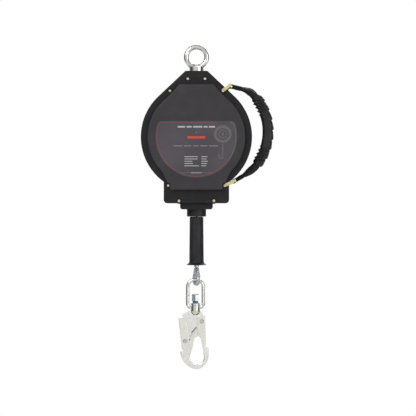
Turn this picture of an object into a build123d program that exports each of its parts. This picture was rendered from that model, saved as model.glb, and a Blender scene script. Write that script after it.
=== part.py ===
from build123d import *
import os
from math import acos, asin, atan2, cos, degrees, pi, radians, sin, sqrt

os.makedirs("parts", exist_ok=True)

# Frame: origin at the centre of the anchor eye, +Z up, +X to the carry handle, front faces -Y.
# "depth" is measured from the parting plane of the covers, positive to the front (-Y).

# ---- driving dimensions, mm ----
eye_radius = 23.3
eye_wire = 5.7
eye_collar_radius = 16.5
eye_collar_height = 11.0
shank_radius = 8.0
shell_top_z = -33.6
shaft_z = -184.5
shell_radius = 127.0
crown_half_width = 25.0
foot_half_width = 74.6
foot_bottom_z = -336.0
neck_half_width = 37.4
neck_bottom_z = -350.0
flange_depth = 42.0
dome_depth = 52.0
neck_depth = 32.0
wall = 4.0
gasket_thickness = 1.6
dome_inset = 15.5
dome_bottom_z = -305.5
dome_bottom_half_width = 58.7
screw_radius = 2.0
screw_head_radius = 3.5
pocket_radius = 5.6
pocket_depth = 3.0
plate_thickness = 3.0
plate_radius = 111.0
spacer_radius = 5.0
spacer_circle = 103.0
shaft_radius = 8.0
thread_radius = 6.0
rope_radius = 2.4
winding_inner_radius = 58.0
winding_layers = 5
winding_turns = 7
drum_flange_radius = 90.0
drum_flange_thickness = 3.0
ring_outer_radius = 97.0
ring_root_radius = 91.0
ring_tip_radius = 84.0
ring_teeth = 16
ring_thickness = 8.0
pawl_pin_circle = 62.0
pawl_pin_radius = 3.0
pawl_thickness = 5.6
pawl_standoff = 7.5
block_height = 24.0
block_half_width = 11.8
spring_case_radius = 88.0
spring_case_wall = 2.0
spring_band_width = 9.6
spring_band_thickness = 1.0
spring_half_turns = 20
ring_screw_circle = 94.0
frame_screw_radius = 1.6
frame_head_height = 2.4
shaft_nut_height = 8.0
label_radius = 93.0
label_cut = 35.5
label_thickness = 0.6
label_corner = 9.0
rear_label_width = 96.0
rear_label_height = 62.0
rear_label_corner = 6.0
dome_top_drop = 30.4
dome_top_half_width = 38.6
dome_shoulder = (53.0, -80.5)
plate_hole_circle = 42.0
plate_hole_radius = 13.0
washer_radius = 13.0
eye_nut_radius = 13.8
shaft_nut_radius = 10.9
bush_radius = 10.0
clip_thickness = 2.2
clip_half_width = 3.5
screw_head_height = 2.8
pawl_angle = 90.0
ratchet_phase = pawl_angle + 34.0
eye_tail = 20.0
eye_nut_height = 11.0
eye_washer_thickness = 2.0
cotter_radius = 1.5
hub_radius = 15.0
arbor_radius = 14.0
guide_radius = 18.5
guide_height = 22.0
nozzle_radius = 22.2
nozzle_bottom_z = -366.6
guide_bend_radius = 30.0
grip_top_radius = 15.7
grip_bottom_radius = 16.7
grip_flare_radius = 22.5
grip_length = 111.0
ferrule_length = 36.0
ferrule_width = 14.2
ferrule_thickness = 9.0
ferrule_show = 5.0
sleeve_cavity_radius = 9.5
sleeve_cap = 12.0
stretch_in_sleeve = 5.0
thimble_half_width = 4.0
thimble_turn = 25.0
thimble_eye_radius = 9.0
thimble_height = 42.0
thimble_wall = 1.6
swivel_x = -2.4
link_wire = 4.0
link_half_width = 18.0
link_height = 72.0
link_corner_radius = 7.5
link_boss_radius = 10.4
link_boss_height = 11.7
stud_radius = 4.0
hook_thickness = 11.0
hook_pin_radius = 3.0
hook_bend_fillet = 2.2
spring_pocket = 4.2
rivet_head_radius = 4.8
rivet_head_height = 1.4
swivel_flange_height = 5.4
band_height = 4.9
swivel_nut_height = 16.2
sheet = 1.8
handle_bar_radius = 3.0
webbing_width = 25.0
webbing_thickness = 1.8
handle_arc_radius = 124.0
handle_grip_radius = 14.4
grip_half_width = 15.0
strap_half_bulk = 9.0

# ---- named clearances, mm ----
running_clearance = 0.05
body_gap = 0.4
loose_gap = 0.3
link_rest_gap = 4.4
sleeve_gap = 0.6

# ---- derived places ----
crown_span = sqrt(crown_half_width**2 + (shell_top_z - shaft_z) ** 2)
flank_angle = degrees(atan2(shell_top_z - shaft_z, crown_half_width) - acos(shell_radius / crown_span))
half_gasket = gasket_thickness / 2
winding_outer_radius = winding_inner_radius + 2 * rope_radius * winding_layers
winding_half_width = rope_radius * winding_turns
flange_in = winding_half_width + 0.2
flange_out = flange_in + drum_flange_thickness
plate_in = flange_depth - wall - plate_thickness
plate_out = plate_in + plate_thickness
upper_clip_screw = (60.5, -79.5)
lower_clip_screw = (64.5, -295.5)
pocket_screws_at = [
    (-19.5, -52.0), (19.5, -52.0), (-60.5, -79.5), (-64.5, -295.5), (-39.8, -330.3), (39.8, -330.3),
]
clip_screws_at = [upper_clip_screw, lower_clip_screw]
all_screws_at = pocket_screws_at + clip_screws_at
spacer_angles = (12, 168, 205, 335)
boss_radius = pocket_radius + 1.6
block_top_z = shell_top_z - 8.4
block_bottom_z = block_top_z - block_height
cotter_z = block_bottom_z - eye_tail + 3.5
pawl_in = flange_out + pawl_standoff + loose_gap
sleeve_top_z = nozzle_bottom_z - body_gap
sleeve_bottom_z = sleeve_top_z - grip_length


def depth_plane(depth):
    """Drawing plane parallel to the covers, local x = X and local y = Z."""
    return Plane.XZ.offset(depth)


def save(piece, name):
    piece.part.label = name
    export_step(piece.part, f"parts/{name}.step")


def crown_points(inset):
    """Corners of the crown: flat top, and flanks tangent to the disc."""
    r = shell_radius - inset
    c, s = cos(radians(flank_angle)), sin(radians(flank_angle))
    top = shell_top_z - inset
    x_top = (r - (top - shaft_z) * s) / c
    return [(-x_top, top), (x_top, top), (r * c, shaft_z + r * s), (0, shaft_z), (-r * c, shaft_z + r * s)]


def shell_profile(sketch, inset):
    """Cover outline: disc, crown and foot."""
    with Locations((0, shaft_z)):
        Circle(shell_radius - inset)
    Polygon(*crown_points(inset), align=None)
    foot_z = foot_bottom_z + inset
    with Locations((0, (shaft_z + foot_z) / 2)):
        Rectangle(2 * (foot_half_width - inset), shaft_z - foot_z)
    corners = sketch.vertices()
    crown = [v for v in corners if v.Y > shell_top_z - inset - 1]
    foot = [v for v in corners if v.Y < foot_z + 1]
    fillet(crown + foot, max(8 - inset, 3))


def dome_profile(inset):
    """Raised face: follows the cover outline, cut flat at the bottom, with slanted lower flanks."""
    with Locations((0, shaft_z)):
        Circle(shell_radius - dome_inset - inset)
    top = shell_top_z - dome_top_drop - inset
    chamfer_x, chamfer_z = dome_shoulder[0] - inset, dome_shoulder[1] - inset
    low_x = shell_radius - dome_inset - inset
    Polygon(
        (-dome_top_half_width, top), (dome_top_half_width, top), (chamfer_x, chamfer_z),
        (low_x * 0.8, shaft_z + low_x * 0.6),
        (low_x * 0.7, shaft_z - low_x * 0.714), (dome_bottom_half_width - inset, dome_bottom_z + inset),
        (-dome_bottom_half_width + inset, dome_bottom_z + inset), (-low_x * 0.7, shaft_z - low_x * 0.714),
        (-low_x * 0.8, shaft_z + low_x * 0.6), (-chamfer_x, chamfer_z), align=None,
    )


# ================= housing =================
def front_label_outline(sketch):
    """Disc cut straight along its top, corners rounded."""
    with Locations((0, shaft_z)):
        Circle(label_radius)
    with Locations((0, shaft_z + label_cut)):
        Rectangle(3 * label_radius, 2 * label_radius, align=(Align.CENTER, Align.MIN), mode=Mode.SUBTRACT)
    fillet(sketch.vertices(), label_corner)


def rear_label_outline(sketch):
    """Rounded plate behind the shaft."""
    with Locations((0, shaft_z)):
        Rectangle(rear_label_width, rear_label_height)
    fillet(sketch.vertices(), rear_label_corner)


def make_cover(side, label_outline, name):
    """One moulded cover: side +1 is the front half, -1 the rear half."""
    outer = 0 if side > 0 else -1
    with BuildPart() as cover:
        with BuildSketch(depth_plane(side * half_gasket)) as outline:
            shell_profile(outline, 0)
        extrude(amount=side * (flange_depth - half_gasket))
        fillet(cover.faces().sort_by(Axis.Y)[outer].outer_wire().edges(), 3)
        with BuildSketch(depth_plane(side * half_gasket)):
            with Locations((0, (neck_bottom_z + foot_bottom_z) / 2 + 2)):
                RectangleRounded(2 * neck_half_width, foot_bottom_z - neck_bottom_z + 4, 6)
        extrude(amount=side * (neck_depth - half_gasket))
        with BuildSketch(depth_plane(side * (flange_depth - 1))):
            dome_profile(0)
        extrude(amount=side * (dome_depth - flange_depth + 1))
        fillet(cover.faces().sort_by(Axis.Y)[outer].outer_wire().edges(), 3.5)
        with BuildSketch(depth_plane(0)) as outline:
            shell_profile(outline, wall)
        extrude(amount=side * (flange_depth - wall), mode=Mode.SUBTRACT)
        with BuildSketch(depth_plane(0)):
            dome_profile(wall)
        extrude(amount=side * (dome_depth - wall), mode=Mode.SUBTRACT)
        with BuildSketch(depth_plane(side * half_gasket)):
            with Locations(*all_screws_at):
                Circle(boss_radius)
        extrude(amount=side * (flange_depth - half_gasket - 2))
        with BuildSketch(depth_plane(0)):
            with Locations(*all_screws_at):
                Circle(screw_radius + 0.2)
        extrude(amount=side * flange_depth, mode=Mode.SUBTRACT)
        with BuildSketch(depth_plane(side * (flange_depth - pocket_depth))):
            with Locations(*pocket_screws_at):
                Circle(pocket_radius)
        extrude(amount=side * (dome_depth - flange_depth + pocket_depth), mode=Mode.SUBTRACT)
        with BuildSketch(depth_plane(side * flange_depth)):
            with Locations(*clip_screws_at):
                Circle(pocket_radius)
        extrude(amount=side * (dome_depth - flange_depth), mode=Mode.SUBTRACT)
        with BuildSketch(depth_plane(side * dome_depth)) as outline:
            label_outline(outline)
        extrude(amount=-side * label_thickness, mode=Mode.SUBTRACT)
        with BuildSketch(Plane.XY.offset(neck_bottom_z)):
            Circle(guide_radius)
        extrude(amount=guide_height, mode=Mode.SUBTRACT)
        with BuildSketch(Plane.XY.offset(shell_top_z)):
            Circle(shank_radius + 1)
        extrude(amount=-2 * wall, mode=Mode.SUBTRACT)
    save(cover, name)


make_cover(1, front_label_outline, "front_cover")
make_cover(-1, rear_label_outline, "rear_cover")

with BuildPart() as seam_gasket:
    with BuildSketch(depth_plane(-half_gasket)) as outline:
        shell_profile(outline, 0.8)
        with Locations((0, (neck_bottom_z + foot_bottom_z) / 2 + 2)):
            RectangleRounded(2 * neck_half_width - 1.6, foot_bottom_z - neck_bottom_z + 2.4, 5)
    extrude(amount=gasket_thickness)
    with BuildSketch(depth_plane(-half_gasket)) as outline:
        shell_profile(outline, wall)
    extrude(amount=gasket_thickness, mode=Mode.SUBTRACT)
    with BuildSketch(depth_plane(-half_gasket)):
        with Locations(*all_screws_at):
            Circle(screw_radius + 0.2)
    extrude(amount=gasket_thickness, mode=Mode.SUBTRACT)
    with BuildSketch(Plane.XY.offset(neck_bottom_z)):
        Circle(guide_radius)
    extrude(amount=guide_height, mode=Mode.SUBTRACT)
    with BuildSketch(Plane.XY.offset(shell_top_z)):
        Circle(shank_radius + 1)
    extrude(amount=-2 * wall, mode=Mode.SUBTRACT)
save(seam_gasket, "seam_gasket")


def make_screws(name, places, head_seat, nut_seat):
    """Button head screws along Y with a hex socket, all alike."""
    with BuildPart() as screws:
        with BuildSketch(depth_plane(head_seat)):
            with Locations(*places):
                Circle(screw_head_radius)
        extrude(amount=screw_head_height)
        chamfer(screws.faces().sort_by(Axis.Y)[: len(places)].edges(), 0.8)
        with BuildSketch(depth_plane(head_seat + screw_head_height)):
            with Locations(*places):
                RegularPolygon(1.7, 6)
        extrude(amount=-1.6, mode=Mode.SUBTRACT)
        with BuildSketch(depth_plane(head_seat)):
            with Locations(*places):
                Circle(screw_radius)
        extrude(amount=-(head_seat + nut_seat + 2.8))
    save(screws, name)


def make_nuts(name, places, nut_seat):
    """Hex nuts on the rear ends of the screws."""
    with BuildPart() as nuts:
        with BuildSketch(depth_plane(-nut_seat)):
            with Locations(*places):
                RegularPolygon(3.9, 6)
            with Locations(*places):
                Circle(screw_radius, mode=Mode.SUBTRACT)
        extrude(amount=-2.6)
    save(nuts, name)


pocket_seat = flange_depth - pocket_depth
clip_seat = flange_depth + clip_thickness
make_screws("cover_screws", pocket_screws_at, pocket_seat, pocket_seat)
make_nuts("cover_nuts", pocket_screws_at, pocket_seat)
make_screws("handle_screws", clip_screws_at, clip_seat, clip_seat)
make_nuts("handle_nuts", clip_screws_at, clip_seat)

with BuildPart() as front_label:
    with BuildSketch(depth_plane(dome_depth)) as outline:
        front_label_outline(outline)
    extrude(amount=-label_thickness)
save(front_label, "front_label")

with BuildPart() as rear_label:
    with BuildSketch(depth_plane(-dome_depth)) as outline:
        rear_label_outline(outline)
    extrude(amount=label_thickness)
save(rear_label, "rear_label")

# ================= inner frame =================
def polar(radius, angle):
    """Point about the shaft, angle in degrees from +X towards +Z."""
    return (radius * cos(radians(angle)), shaft_z + radius * sin(radians(angle)))


spacer_places = [polar(spacer_circle, angle) for angle in spacer_angles]
ring_places = [polar(ring_screw_circle, angle) for angle in range(30, 390, 60)]
block_places = [(0, block_top_z - 6), (0, block_bottom_z + 6)]


def make_frame_plate(side, name):
    """Steel side plate: carries the shaft, spacers, suspension block and ratchet or spring case."""
    with BuildPart() as plate:
        with BuildSketch(depth_plane(side * plate_in)):
            with Locations((0, shaft_z)):
                Circle(plate_radius)
            with Locations((0, (block_top_z + shaft_z) / 2)):
                Rectangle(2 * block_half_width, block_top_z - shaft_z)
            with Locations((0, shaft_z)):
                Circle(thread_radius + 0.1, mode=Mode.SUBTRACT)
            with Locations(*spacer_places, *ring_places, *block_places):
                Circle(frame_screw_radius + 0.1, mode=Mode.SUBTRACT)
            with Locations((0, shaft_z)):
                with PolarLocations(plate_hole_circle, 5, 90):
                    Circle(plate_hole_radius, mode=Mode.SUBTRACT)
        extrude(amount=side * plate_thickness)
    save(plate, name)


make_frame_plate(1, "front_frame_plate")
make_frame_plate(-1, "rear_frame_plate")

with BuildPart() as frame_spacers:
    with BuildSketch(depth_plane(-plate_in)):
        with Locations(*spacer_places):
            Circle(spacer_radius)
        with Locations(*spacer_places):
            Circle(frame_screw_radius, mode=Mode.SUBTRACT)
    extrude(amount=2 * plate_in)
save(frame_spacers, "frame_spacers")


def make_frame_screws(name, places, length, head):
    """Low head screws through both frame plates."""
    with BuildPart() as screws:
        for side in (1, -1):
            with BuildSketch(depth_plane(side * plate_out)):
                with Locations(*places):
                    RegularPolygon(head, 6)
            extrude(amount=side * frame_head_height)
            with BuildSketch(depth_plane(side * plate_out)):
                with Locations(*places):
                    Circle(frame_screw_radius)
            extrude(amount=-side * length)
    save(screws, name)


make_frame_screws("frame_screws", spacer_places, 18.0, 4.2)
make_frame_screws("ring_screws", ring_places, plate_thickness + 2.0, 3.4)

with BuildPart() as suspension_block:
    with BuildSketch(depth_plane(-plate_in)):
        with Locations((0, (block_top_z + block_bottom_z) / 2)):
            Rectangle(2 * block_half_width, block_height)
    extrude(amount=2 * plate_in)
    with BuildSketch(Plane.XY.offset(block_bottom_z)):
        Circle(shank_radius + running_clearance)
    extrude(amount=block_height, mode=Mode.SUBTRACT)
    with BuildSketch(depth_plane(-plate_in)):
        with Locations(*block_places):
            Circle(frame_screw_radius)
    extrude(amount=12.0, mode=Mode.SUBTRACT)
    with BuildSketch(depth_plane(plate_in)):
        with Locations(*block_places):
            Circle(frame_screw_radius)
    extrude(amount=-12.0, mode=Mode.SUBTRACT)
save(suspension_block, "suspension_block")

with BuildPart() as block_screws:
    for side in (1, -1):
        with BuildSketch(depth_plane(side * plate_out)):
            with Locations(*block_places):
                Circle(frame_screw_radius)
        extrude(amount=-side * (plate_thickness + 11.0))
save(block_screws, "block_screws")

with BuildPart() as main_shaft:
    with BuildSketch(depth_plane(-plate_in)):
        with Locations((0, shaft_z)):
            Circle(shaft_radius)
    extrude(amount=2 * plate_in)
    with BuildSketch(depth_plane(-plate_out - shaft_nut_height - 0.8)):
        with Locations((0, shaft_z)):
            Circle(thread_radius)
    extrude(amount=2 * (plate_out + shaft_nut_height + 0.8))
save(main_shaft, "main_shaft")

with BuildPart() as shaft_nuts:
    for side in (1, -1):
        with BuildSketch(depth_plane(side * plate_out)):
            with Locations((0, shaft_z)):
                RegularPolygon(shaft_nut_radius, 6)
                Circle(thread_radius, mode=Mode.SUBTRACT)
        extrude(amount=side * shaft_nut_height)
save(shaft_nuts, "shaft_nuts")

with BuildPart() as ratchet_ring:
    with BuildSketch(depth_plane(plate_in)):
        with Locations((0, shaft_z)):
            Circle(ring_outer_radius)
        with Locations(*ring_places):
            Circle(frame_screw_radius, mode=Mode.SUBTRACT)
        teeth = []
        for k in range(ring_teeth):
            teeth.append(polar(ring_tip_radius, ratchet_phase + 360 * k / ring_teeth))
            teeth.append(polar(ring_root_radius, ratchet_phase + 360 * (k + 1) / ring_teeth))
        Polygon(*teeth, align=None, mode=Mode.SUBTRACT)
    extrude(amount=-ring_thickness)
save(ratchet_ring, "ratchet_ring")

case_in = flange_out + 2.4
with BuildPart() as spring_case:
    with BuildSketch(depth_plane(-case_in)):
        with Locations((0, shaft_z)):
            Circle(spring_case_radius)
    extrude(amount=-(plate_in - case_in))
    with BuildSketch(depth_plane(-plate_in)):
        with Locations((0, shaft_z)):
            Circle(ring_outer_radius)
        with Locations(*ring_places):
            Circle(frame_screw_radius, mode=Mode.SUBTRACT)
    extrude(amount=spring_case_wall)
    with BuildSketch(depth_plane(-plate_in)):
        with Locations((0, shaft_z)):
            Circle(spring_case_radius - spring_case_wall)
    extrude(amount=plate_in - case_in - spring_case_wall, mode=Mode.SUBTRACT)
    with BuildSketch(depth_plane(-plate_in)):
        with Locations((0, shaft_z)):
            Circle(arbor_radius + 2)
    extrude(amount=plate_in - case_in, mode=Mode.SUBTRACT)
save(spring_case, "spring_case")

spring_inner = arbor_radius + 3
spring_outer = spring_case_radius - spring_case_wall - 1
spring_step = (spring_outer - spring_inner) / spring_half_turns
with BuildPart() as power_spring:
    with BuildSketch(depth_plane(-plate_in + 0.6)):
        with BuildLine():
            for edge in (-spring_band_thickness / 2, spring_band_thickness / 2):
                for k in range(spring_half_turns):
                    middle = (spring_step * (k % 2), shaft_z)
                    CenterArc(middle, spring_inner + spring_step * k + edge, 180 * (k % 2), 180)
            first = spring_inner - spring_band_thickness / 2
            last = spring_inner + spring_step * spring_half_turns - spring_band_thickness / 2
            Line((first, shaft_z), (first + spring_band_thickness, shaft_z))
            Line((last, shaft_z), (last + spring_band_thickness, shaft_z))
        make_face()
    extrude(amount=spring_band_width)
save(power_spring, "power_spring")

# ================= anchor eye =================
with BuildPart() as eye_bolt:
    with BuildSketch(Plane.XY):
        with Locations((eye_radius, 0)):
            Circle(eye_wire)
    revolve(axis=Axis.Y)
    with BuildSketch(Plane.XZ):
        with BuildLine():
            collar_top = shell_top_z + body_gap + eye_collar_height
            foot = shell_top_z + body_gap
            Polyline(
                (0, collar_top + 8), (eye_wire + 1.5, collar_top + 8), (eye_wire + 4, collar_top + 2.5),
                (eye_collar_radius, collar_top), (eye_collar_radius, foot), (0, foot), close=True,
            )
        make_face()
    revolve(axis=Axis.Z)
    with BuildSketch(Plane.XZ):
        with BuildLine():
            CenterArc((0, 0), eye_radius - eye_wire, 0, 360)
        make_face()
    extrude(amount=3 * eye_wire, both=True, mode=Mode.SUBTRACT)
    with BuildSketch(Plane.XY.offset(foot)):
        Circle(shank_radius)
    extrude(amount=-(foot - block_bottom_z + eye_tail))
    with BuildSketch(Plane.YZ):
        with Locations((0, cotter_z)):
            Circle(cotter_radius)
    extrude(amount=2 * shank_radius, both=True, mode=Mode.SUBTRACT)
save(eye_bolt, "eye_bolt")

with BuildPart() as eye_washer:
    with BuildSketch(Plane.XY.offset(block_bottom_z - loose_gap)):
        Circle(washer_radius)
        Circle(shank_radius, mode=Mode.SUBTRACT)
    extrude(amount=-eye_washer_thickness)
save(eye_washer, "eye_washer")

with BuildPart() as eye_nut:
    with BuildSketch(Plane.XY.offset(block_bottom_z - loose_gap - eye_washer_thickness)):
        RegularPolygon(eye_nut_radius, 6)
        Circle(shank_radius, mode=Mode.SUBTRACT)
    extrude(amount=-eye_nut_height)
save(eye_nut, "eye_nut")

with BuildPart() as eye_cotter:
    with BuildSketch(Plane.YZ.offset(-shank_radius - 4)):
        with Locations((0, cotter_z)):
            Circle(cotter_radius)
    extrude(amount=2 * shank_radius + 8)
save(eye_cotter, "eye_cotter")

# ================= rope drum =================
drum_front = flange_out + pawl_standoff
arbor_rear = plate_in - 1.4
bush_length = 13.0
half_web = 2.0
rim_in = flange_out - drum_flange_thickness
with BuildPart() as drum:
    with BuildSketch(Plane(origin=(0, 0, shaft_z), x_dir=(1, 0, 0), z_dir=(0, 0, 1))):
        with BuildLine():
            core = winding_inner_radius - 3.4
            Polyline(
                (bush_radius, -drum_front), (hub_radius, -drum_front), (hub_radius, -flange_out),
                (drum_flange_radius, -flange_out), (drum_flange_radius, -flange_in),
                (winding_inner_radius, -flange_in), (winding_inner_radius, flange_in),
                (drum_flange_radius, flange_in), (drum_flange_radius, flange_out),
                (arbor_radius, flange_out), (arbor_radius, arbor_rear), (bush_radius, arbor_rear),
                (bush_radius, arbor_rear - bush_length), (bush_radius - 1, arbor_rear - bush_length),
                (bush_radius - 1, bush_length - drum_front), (bush_radius, bush_length - drum_front),
                close=True,
            )
        make_face()
        for side in (1, -1):
            with BuildLine():
                Polyline(
                    (hub_radius, side * half_web), (core, side * half_web), (core, side * rim_in),
                    (hub_radius, side * rim_in), close=True,
                )
            make_face(mode=Mode.SUBTRACT)
    revolve(axis=Axis((0, 0, shaft_z), (0, 1, 0)))
    with BuildSketch(depth_plane(-flange_out)):
        with Locations((0, shaft_z)):
            with PolarLocations(36, 6, 30):
                Circle(11)
    extrude(amount=2 * flange_out, mode=Mode.SUBTRACT)
    with BuildSketch(depth_plane(flange_out)):
        with Locations((0, shaft_z)):
            with PolarLocations(pawl_pin_circle, 2, pawl_angle):
                Circle(pawl_pin_radius + 3.5)
    extrude(amount=pawl_standoff)
    with BuildSketch(depth_plane(flange_out)):
        with Locations((0, shaft_z)):
            with PolarLocations(pawl_pin_circle, 2, pawl_angle):
                Circle(pawl_pin_radius)
    extrude(amount=pawl_standoff, mode=Mode.SUBTRACT)
save(drum, "drum")

with BuildPart() as drum_bushes:
    for start in (drum_front, -arbor_rear + bush_length):
        with BuildSketch(depth_plane(start)):
            with Locations((0, shaft_z)):
                Circle(bush_radius)
                Circle(shaft_radius + running_clearance, mode=Mode.SUBTRACT)
        extrude(amount=-bush_length)
save(drum_bushes, "drum_bushes")

with BuildPart() as shaft_washers:
    for seat, reach in (
        (plate_in, drum_front + body_gap - plate_in), (-plate_in, plate_in - arbor_rear - body_gap),
    ):
        with BuildSketch(depth_plane(seat)):
            with Locations((0, shaft_z)):
                Circle(washer_radius)
                Circle(shaft_radius, mode=Mode.SUBTRACT)
        extrude(amount=reach)
save(shaft_washers, "shaft_washers")

with BuildPart() as rope_winding:
    with BuildSketch(Plane(origin=(0, 0, shaft_z), x_dir=(1, 0, 0), z_dir=(0, 0, 1))):
        with Locations(((winding_inner_radius + winding_outer_radius - rope_radius) / 2, 0)):
            Rectangle(winding_outer_radius - rope_radius - winding_inner_radius, 2 * winding_half_width)
        for turn in range(winding_turns):
            across = rope_radius * (2 * turn + 1 - winding_turns)
            with Locations((winding_outer_radius - rope_radius, across)):
                Circle(rope_radius)
    revolve(axis=Axis((0, 0, shaft_z), (0, 1, 0)))
save(rope_winding, "rope_winding")

with BuildPart() as rope_clamp:
    with BuildSketch(Plane(origin=(0, 0, shaft_z), x_dir=(1, 0, 0), z_dir=(0, 0, 1))):
        with Locations((core - 4, -6)):
            Rectangle(8, 8)
    revolve(axis=Axis((0, 0, shaft_z), (0, 1, 0)), revolution_arc=22)
save(rope_clamp, "rope_clamp")


def make_pawl(name, start):
    """Hooked pawl on its pin, nose pointing the way the drum turns when rope is pulled."""
    pin = polar(pawl_pin_circle, start)
    with BuildPart() as pawl:
        with BuildSketch(depth_plane(pawl_in)):
            Polygon(
                polar(ring_tip_radius - 1, start + 33), polar(74.5, start + 33), polar(58, start + 17),
                polar(pawl_pin_circle - 6.4, start + 1), polar(pawl_pin_circle - 5, start - 13),
                polar(pawl_pin_circle + 4, start - 13), polar(pawl_pin_circle + 6.4, start - 2),
                polar(76, start + 17), align=None,
            )
            with Locations(pin):
                Circle(pawl_pin_radius + 3.5)
                Circle(pawl_pin_radius + running_clearance, mode=Mode.SUBTRACT)
        extrude(amount=pawl_thickness)
    save(pawl, name)


make_pawl("pawl_a", pawl_angle)
make_pawl("pawl_b", pawl_angle + 180)
pawl_pins_at = [polar(pawl_pin_circle, pawl_angle), polar(pawl_pin_circle, pawl_angle + 180)]

with BuildPart() as pawl_pins:
    with BuildSketch(depth_plane(flange_out)):
        with Locations(*pawl_pins_at):
            Circle(pawl_pin_radius)
    extrude(amount=plate_in - body_gap - flange_out)
save(pawl_pins, "pawl_pins")


def make_coil(name, middles, wire, radius, pitch, height):
    """Round wire coils whose axes lie along Y, starting at each middle."""
    with BuildPart() as coils:
        for x, y, z in middles:
            with BuildLine() as turns:
                Helix(pitch, height, radius, center=(x, y, z), direction=(0, 1, 0))
            with BuildSketch(Plane(origin=turns.line @ 0, z_dir=turns.line % 0)):
                Circle(wire)
            sweep(path=turns.line, is_frenet=True)
    save(coils, name)


pawl_spring_starts = [(x, -drum_front + 0.8, z) for x, z in pawl_pins_at]
make_coil("pawl_springs", pawl_spring_starts, 0.5, pawl_pin_radius + 4.3, 1.6, 4.8)

# ================= rope run, guide and stop buffer =================
with BuildPart() as rope_guide:
    with BuildSketch(Plane.XZ):
        guide_top_z = neck_bottom_z + guide_height
        throat = guide_bend_radius - rope_radius - loose_gap
        bend_z = neck_bottom_z - 2
        with BuildLine():
            flare_angle = degrees(asin((guide_top_z - bend_z) / throat))
            flare = CenterArc((guide_bend_radius, bend_z), throat, 180, -flare_angle)
            bore = guide_bend_radius - throat
            Polyline(
                flare @ 1, (guide_radius, guide_top_z), (guide_radius, neck_bottom_z),
                (nozzle_radius, neck_bottom_z),
                (nozzle_radius, nozzle_bottom_z + 1.5), (nozzle_radius - 1.5, nozzle_bottom_z),
                (bore, nozzle_bottom_z), flare @ 0,
            )
        make_face()
    revolve(axis=Axis.Z)
save(rope_guide, "rope_guide")

rope_start_radius = winding_outer_radius + rope_radius + body_gap
bend_reach = 0.3 * guide_bend_radius
for _ in range(8):
    corner_z = bend_z + bend_reach
    rope_slant = asin(rope_start_radius / (shaft_z - corner_z))
    bend_reach = guide_bend_radius * sin(rope_slant / 2) / cos(rope_slant / 2)
rope_leaves = (-rope_start_radius * cos(rope_slant), shaft_z - rope_start_radius * sin(rope_slant))
stretch_top_z = nozzle_bottom_z + 10
with BuildPart() as rope_run:
    with BuildLine(Plane.XZ) as rope_route:
        FilletPolyline(rope_leaves, (0, corner_z), (0, stretch_top_z), radius=guide_bend_radius)
    with BuildSketch(Plane(origin=rope_route.line @ 0, z_dir=rope_route.line % 0)):
        Circle(rope_radius)
    sweep(path=rope_route.line)
print("rope run: bend radius", guide_bend_radius, "volume over section times length",
      rope_run.part.volume / (pi * rope_radius**2 * rope_route.wires()[0].length))
save(rope_run, "rope_run")

with BuildPart() as rope_stretch:
    with BuildSketch(Plane.XY.offset(stretch_top_z)):
        Circle(rope_radius)
    extrude(amount=-(stretch_top_z - sleeve_top_z + stretch_in_sleeve))
save(rope_stretch, "rope_stretch")

# ================= line end =================
tail_top_z = sleeve_top_z - stretch_in_sleeve - loose_gap
ferrule_bottom_z = sleeve_bottom_z - ferrule_show
thimble_z = ferrule_bottom_z - 1 - thimble_height + thimble_eye_radius + thimble_wall + 2 * rope_radius
wrap_radius = thimble_eye_radius + thimble_wall + rope_radius
cos_t, sin_t = cos(radians(thimble_turn)), sin(radians(thimble_turn))
thimble_plane = Plane(origin=(0, 0, 0), x_dir=(sin_t, -cos_t, 0), z_dir=(-cos_t, -sin_t, 0))

with BuildPart() as grip_sleeve:
    with BuildSketch(Plane.XZ):
        with BuildLine():
            flare_top_z = sleeve_bottom_z + 9
            Line((rope_radius + sleeve_gap, sleeve_top_z), (grip_top_radius - 1.5, sleeve_top_z))
            Line((grip_top_radius - 1.5, sleeve_top_z), (grip_top_radius, sleeve_top_z - 2))
            Line((grip_top_radius, sleeve_top_z - 2), (grip_bottom_radius, flare_top_z))
            lip = Spline(
                (grip_bottom_radius, flare_top_z), (grip_flare_radius, sleeve_bottom_z + 1.5),
                tangents=((0.05, -1), (1, -0.5)),
            )
            Polyline(
                lip @ 1, (grip_flare_radius - 1, sleeve_bottom_z), (sleeve_cavity_radius, sleeve_bottom_z),
                (sleeve_cavity_radius, sleeve_top_z - sleeve_cap),
                (rope_radius + sleeve_gap, sleeve_top_z - sleeve_cap),
                (rope_radius + sleeve_gap, sleeve_top_z),
            )
        make_face()
    revolve(axis=Axis.Z)
save(grip_sleeve, "grip_sleeve")

with BuildPart() as ferrule:
    with BuildSketch(Plane.XY.offset(ferrule_bottom_z)):
        with Locations(Location((0, 0), thimble_turn - 90)):
            SlotOverall(ferrule_width, ferrule_thickness)
    extrude(amount=ferrule_length)
    fillet(ferrule.edges().filter_by(Plane.XY), 1.2)
save(ferrule, "ferrule")

with BuildPart() as rope_tail:
    with BuildSketch(Plane.XY.offset(tail_top_z)):
        Circle(rope_radius)
    extrude(amount=-(tail_top_z - ferrule_bottom_z - ferrule_length))
save(rope_tail, "rope_tail")

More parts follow.
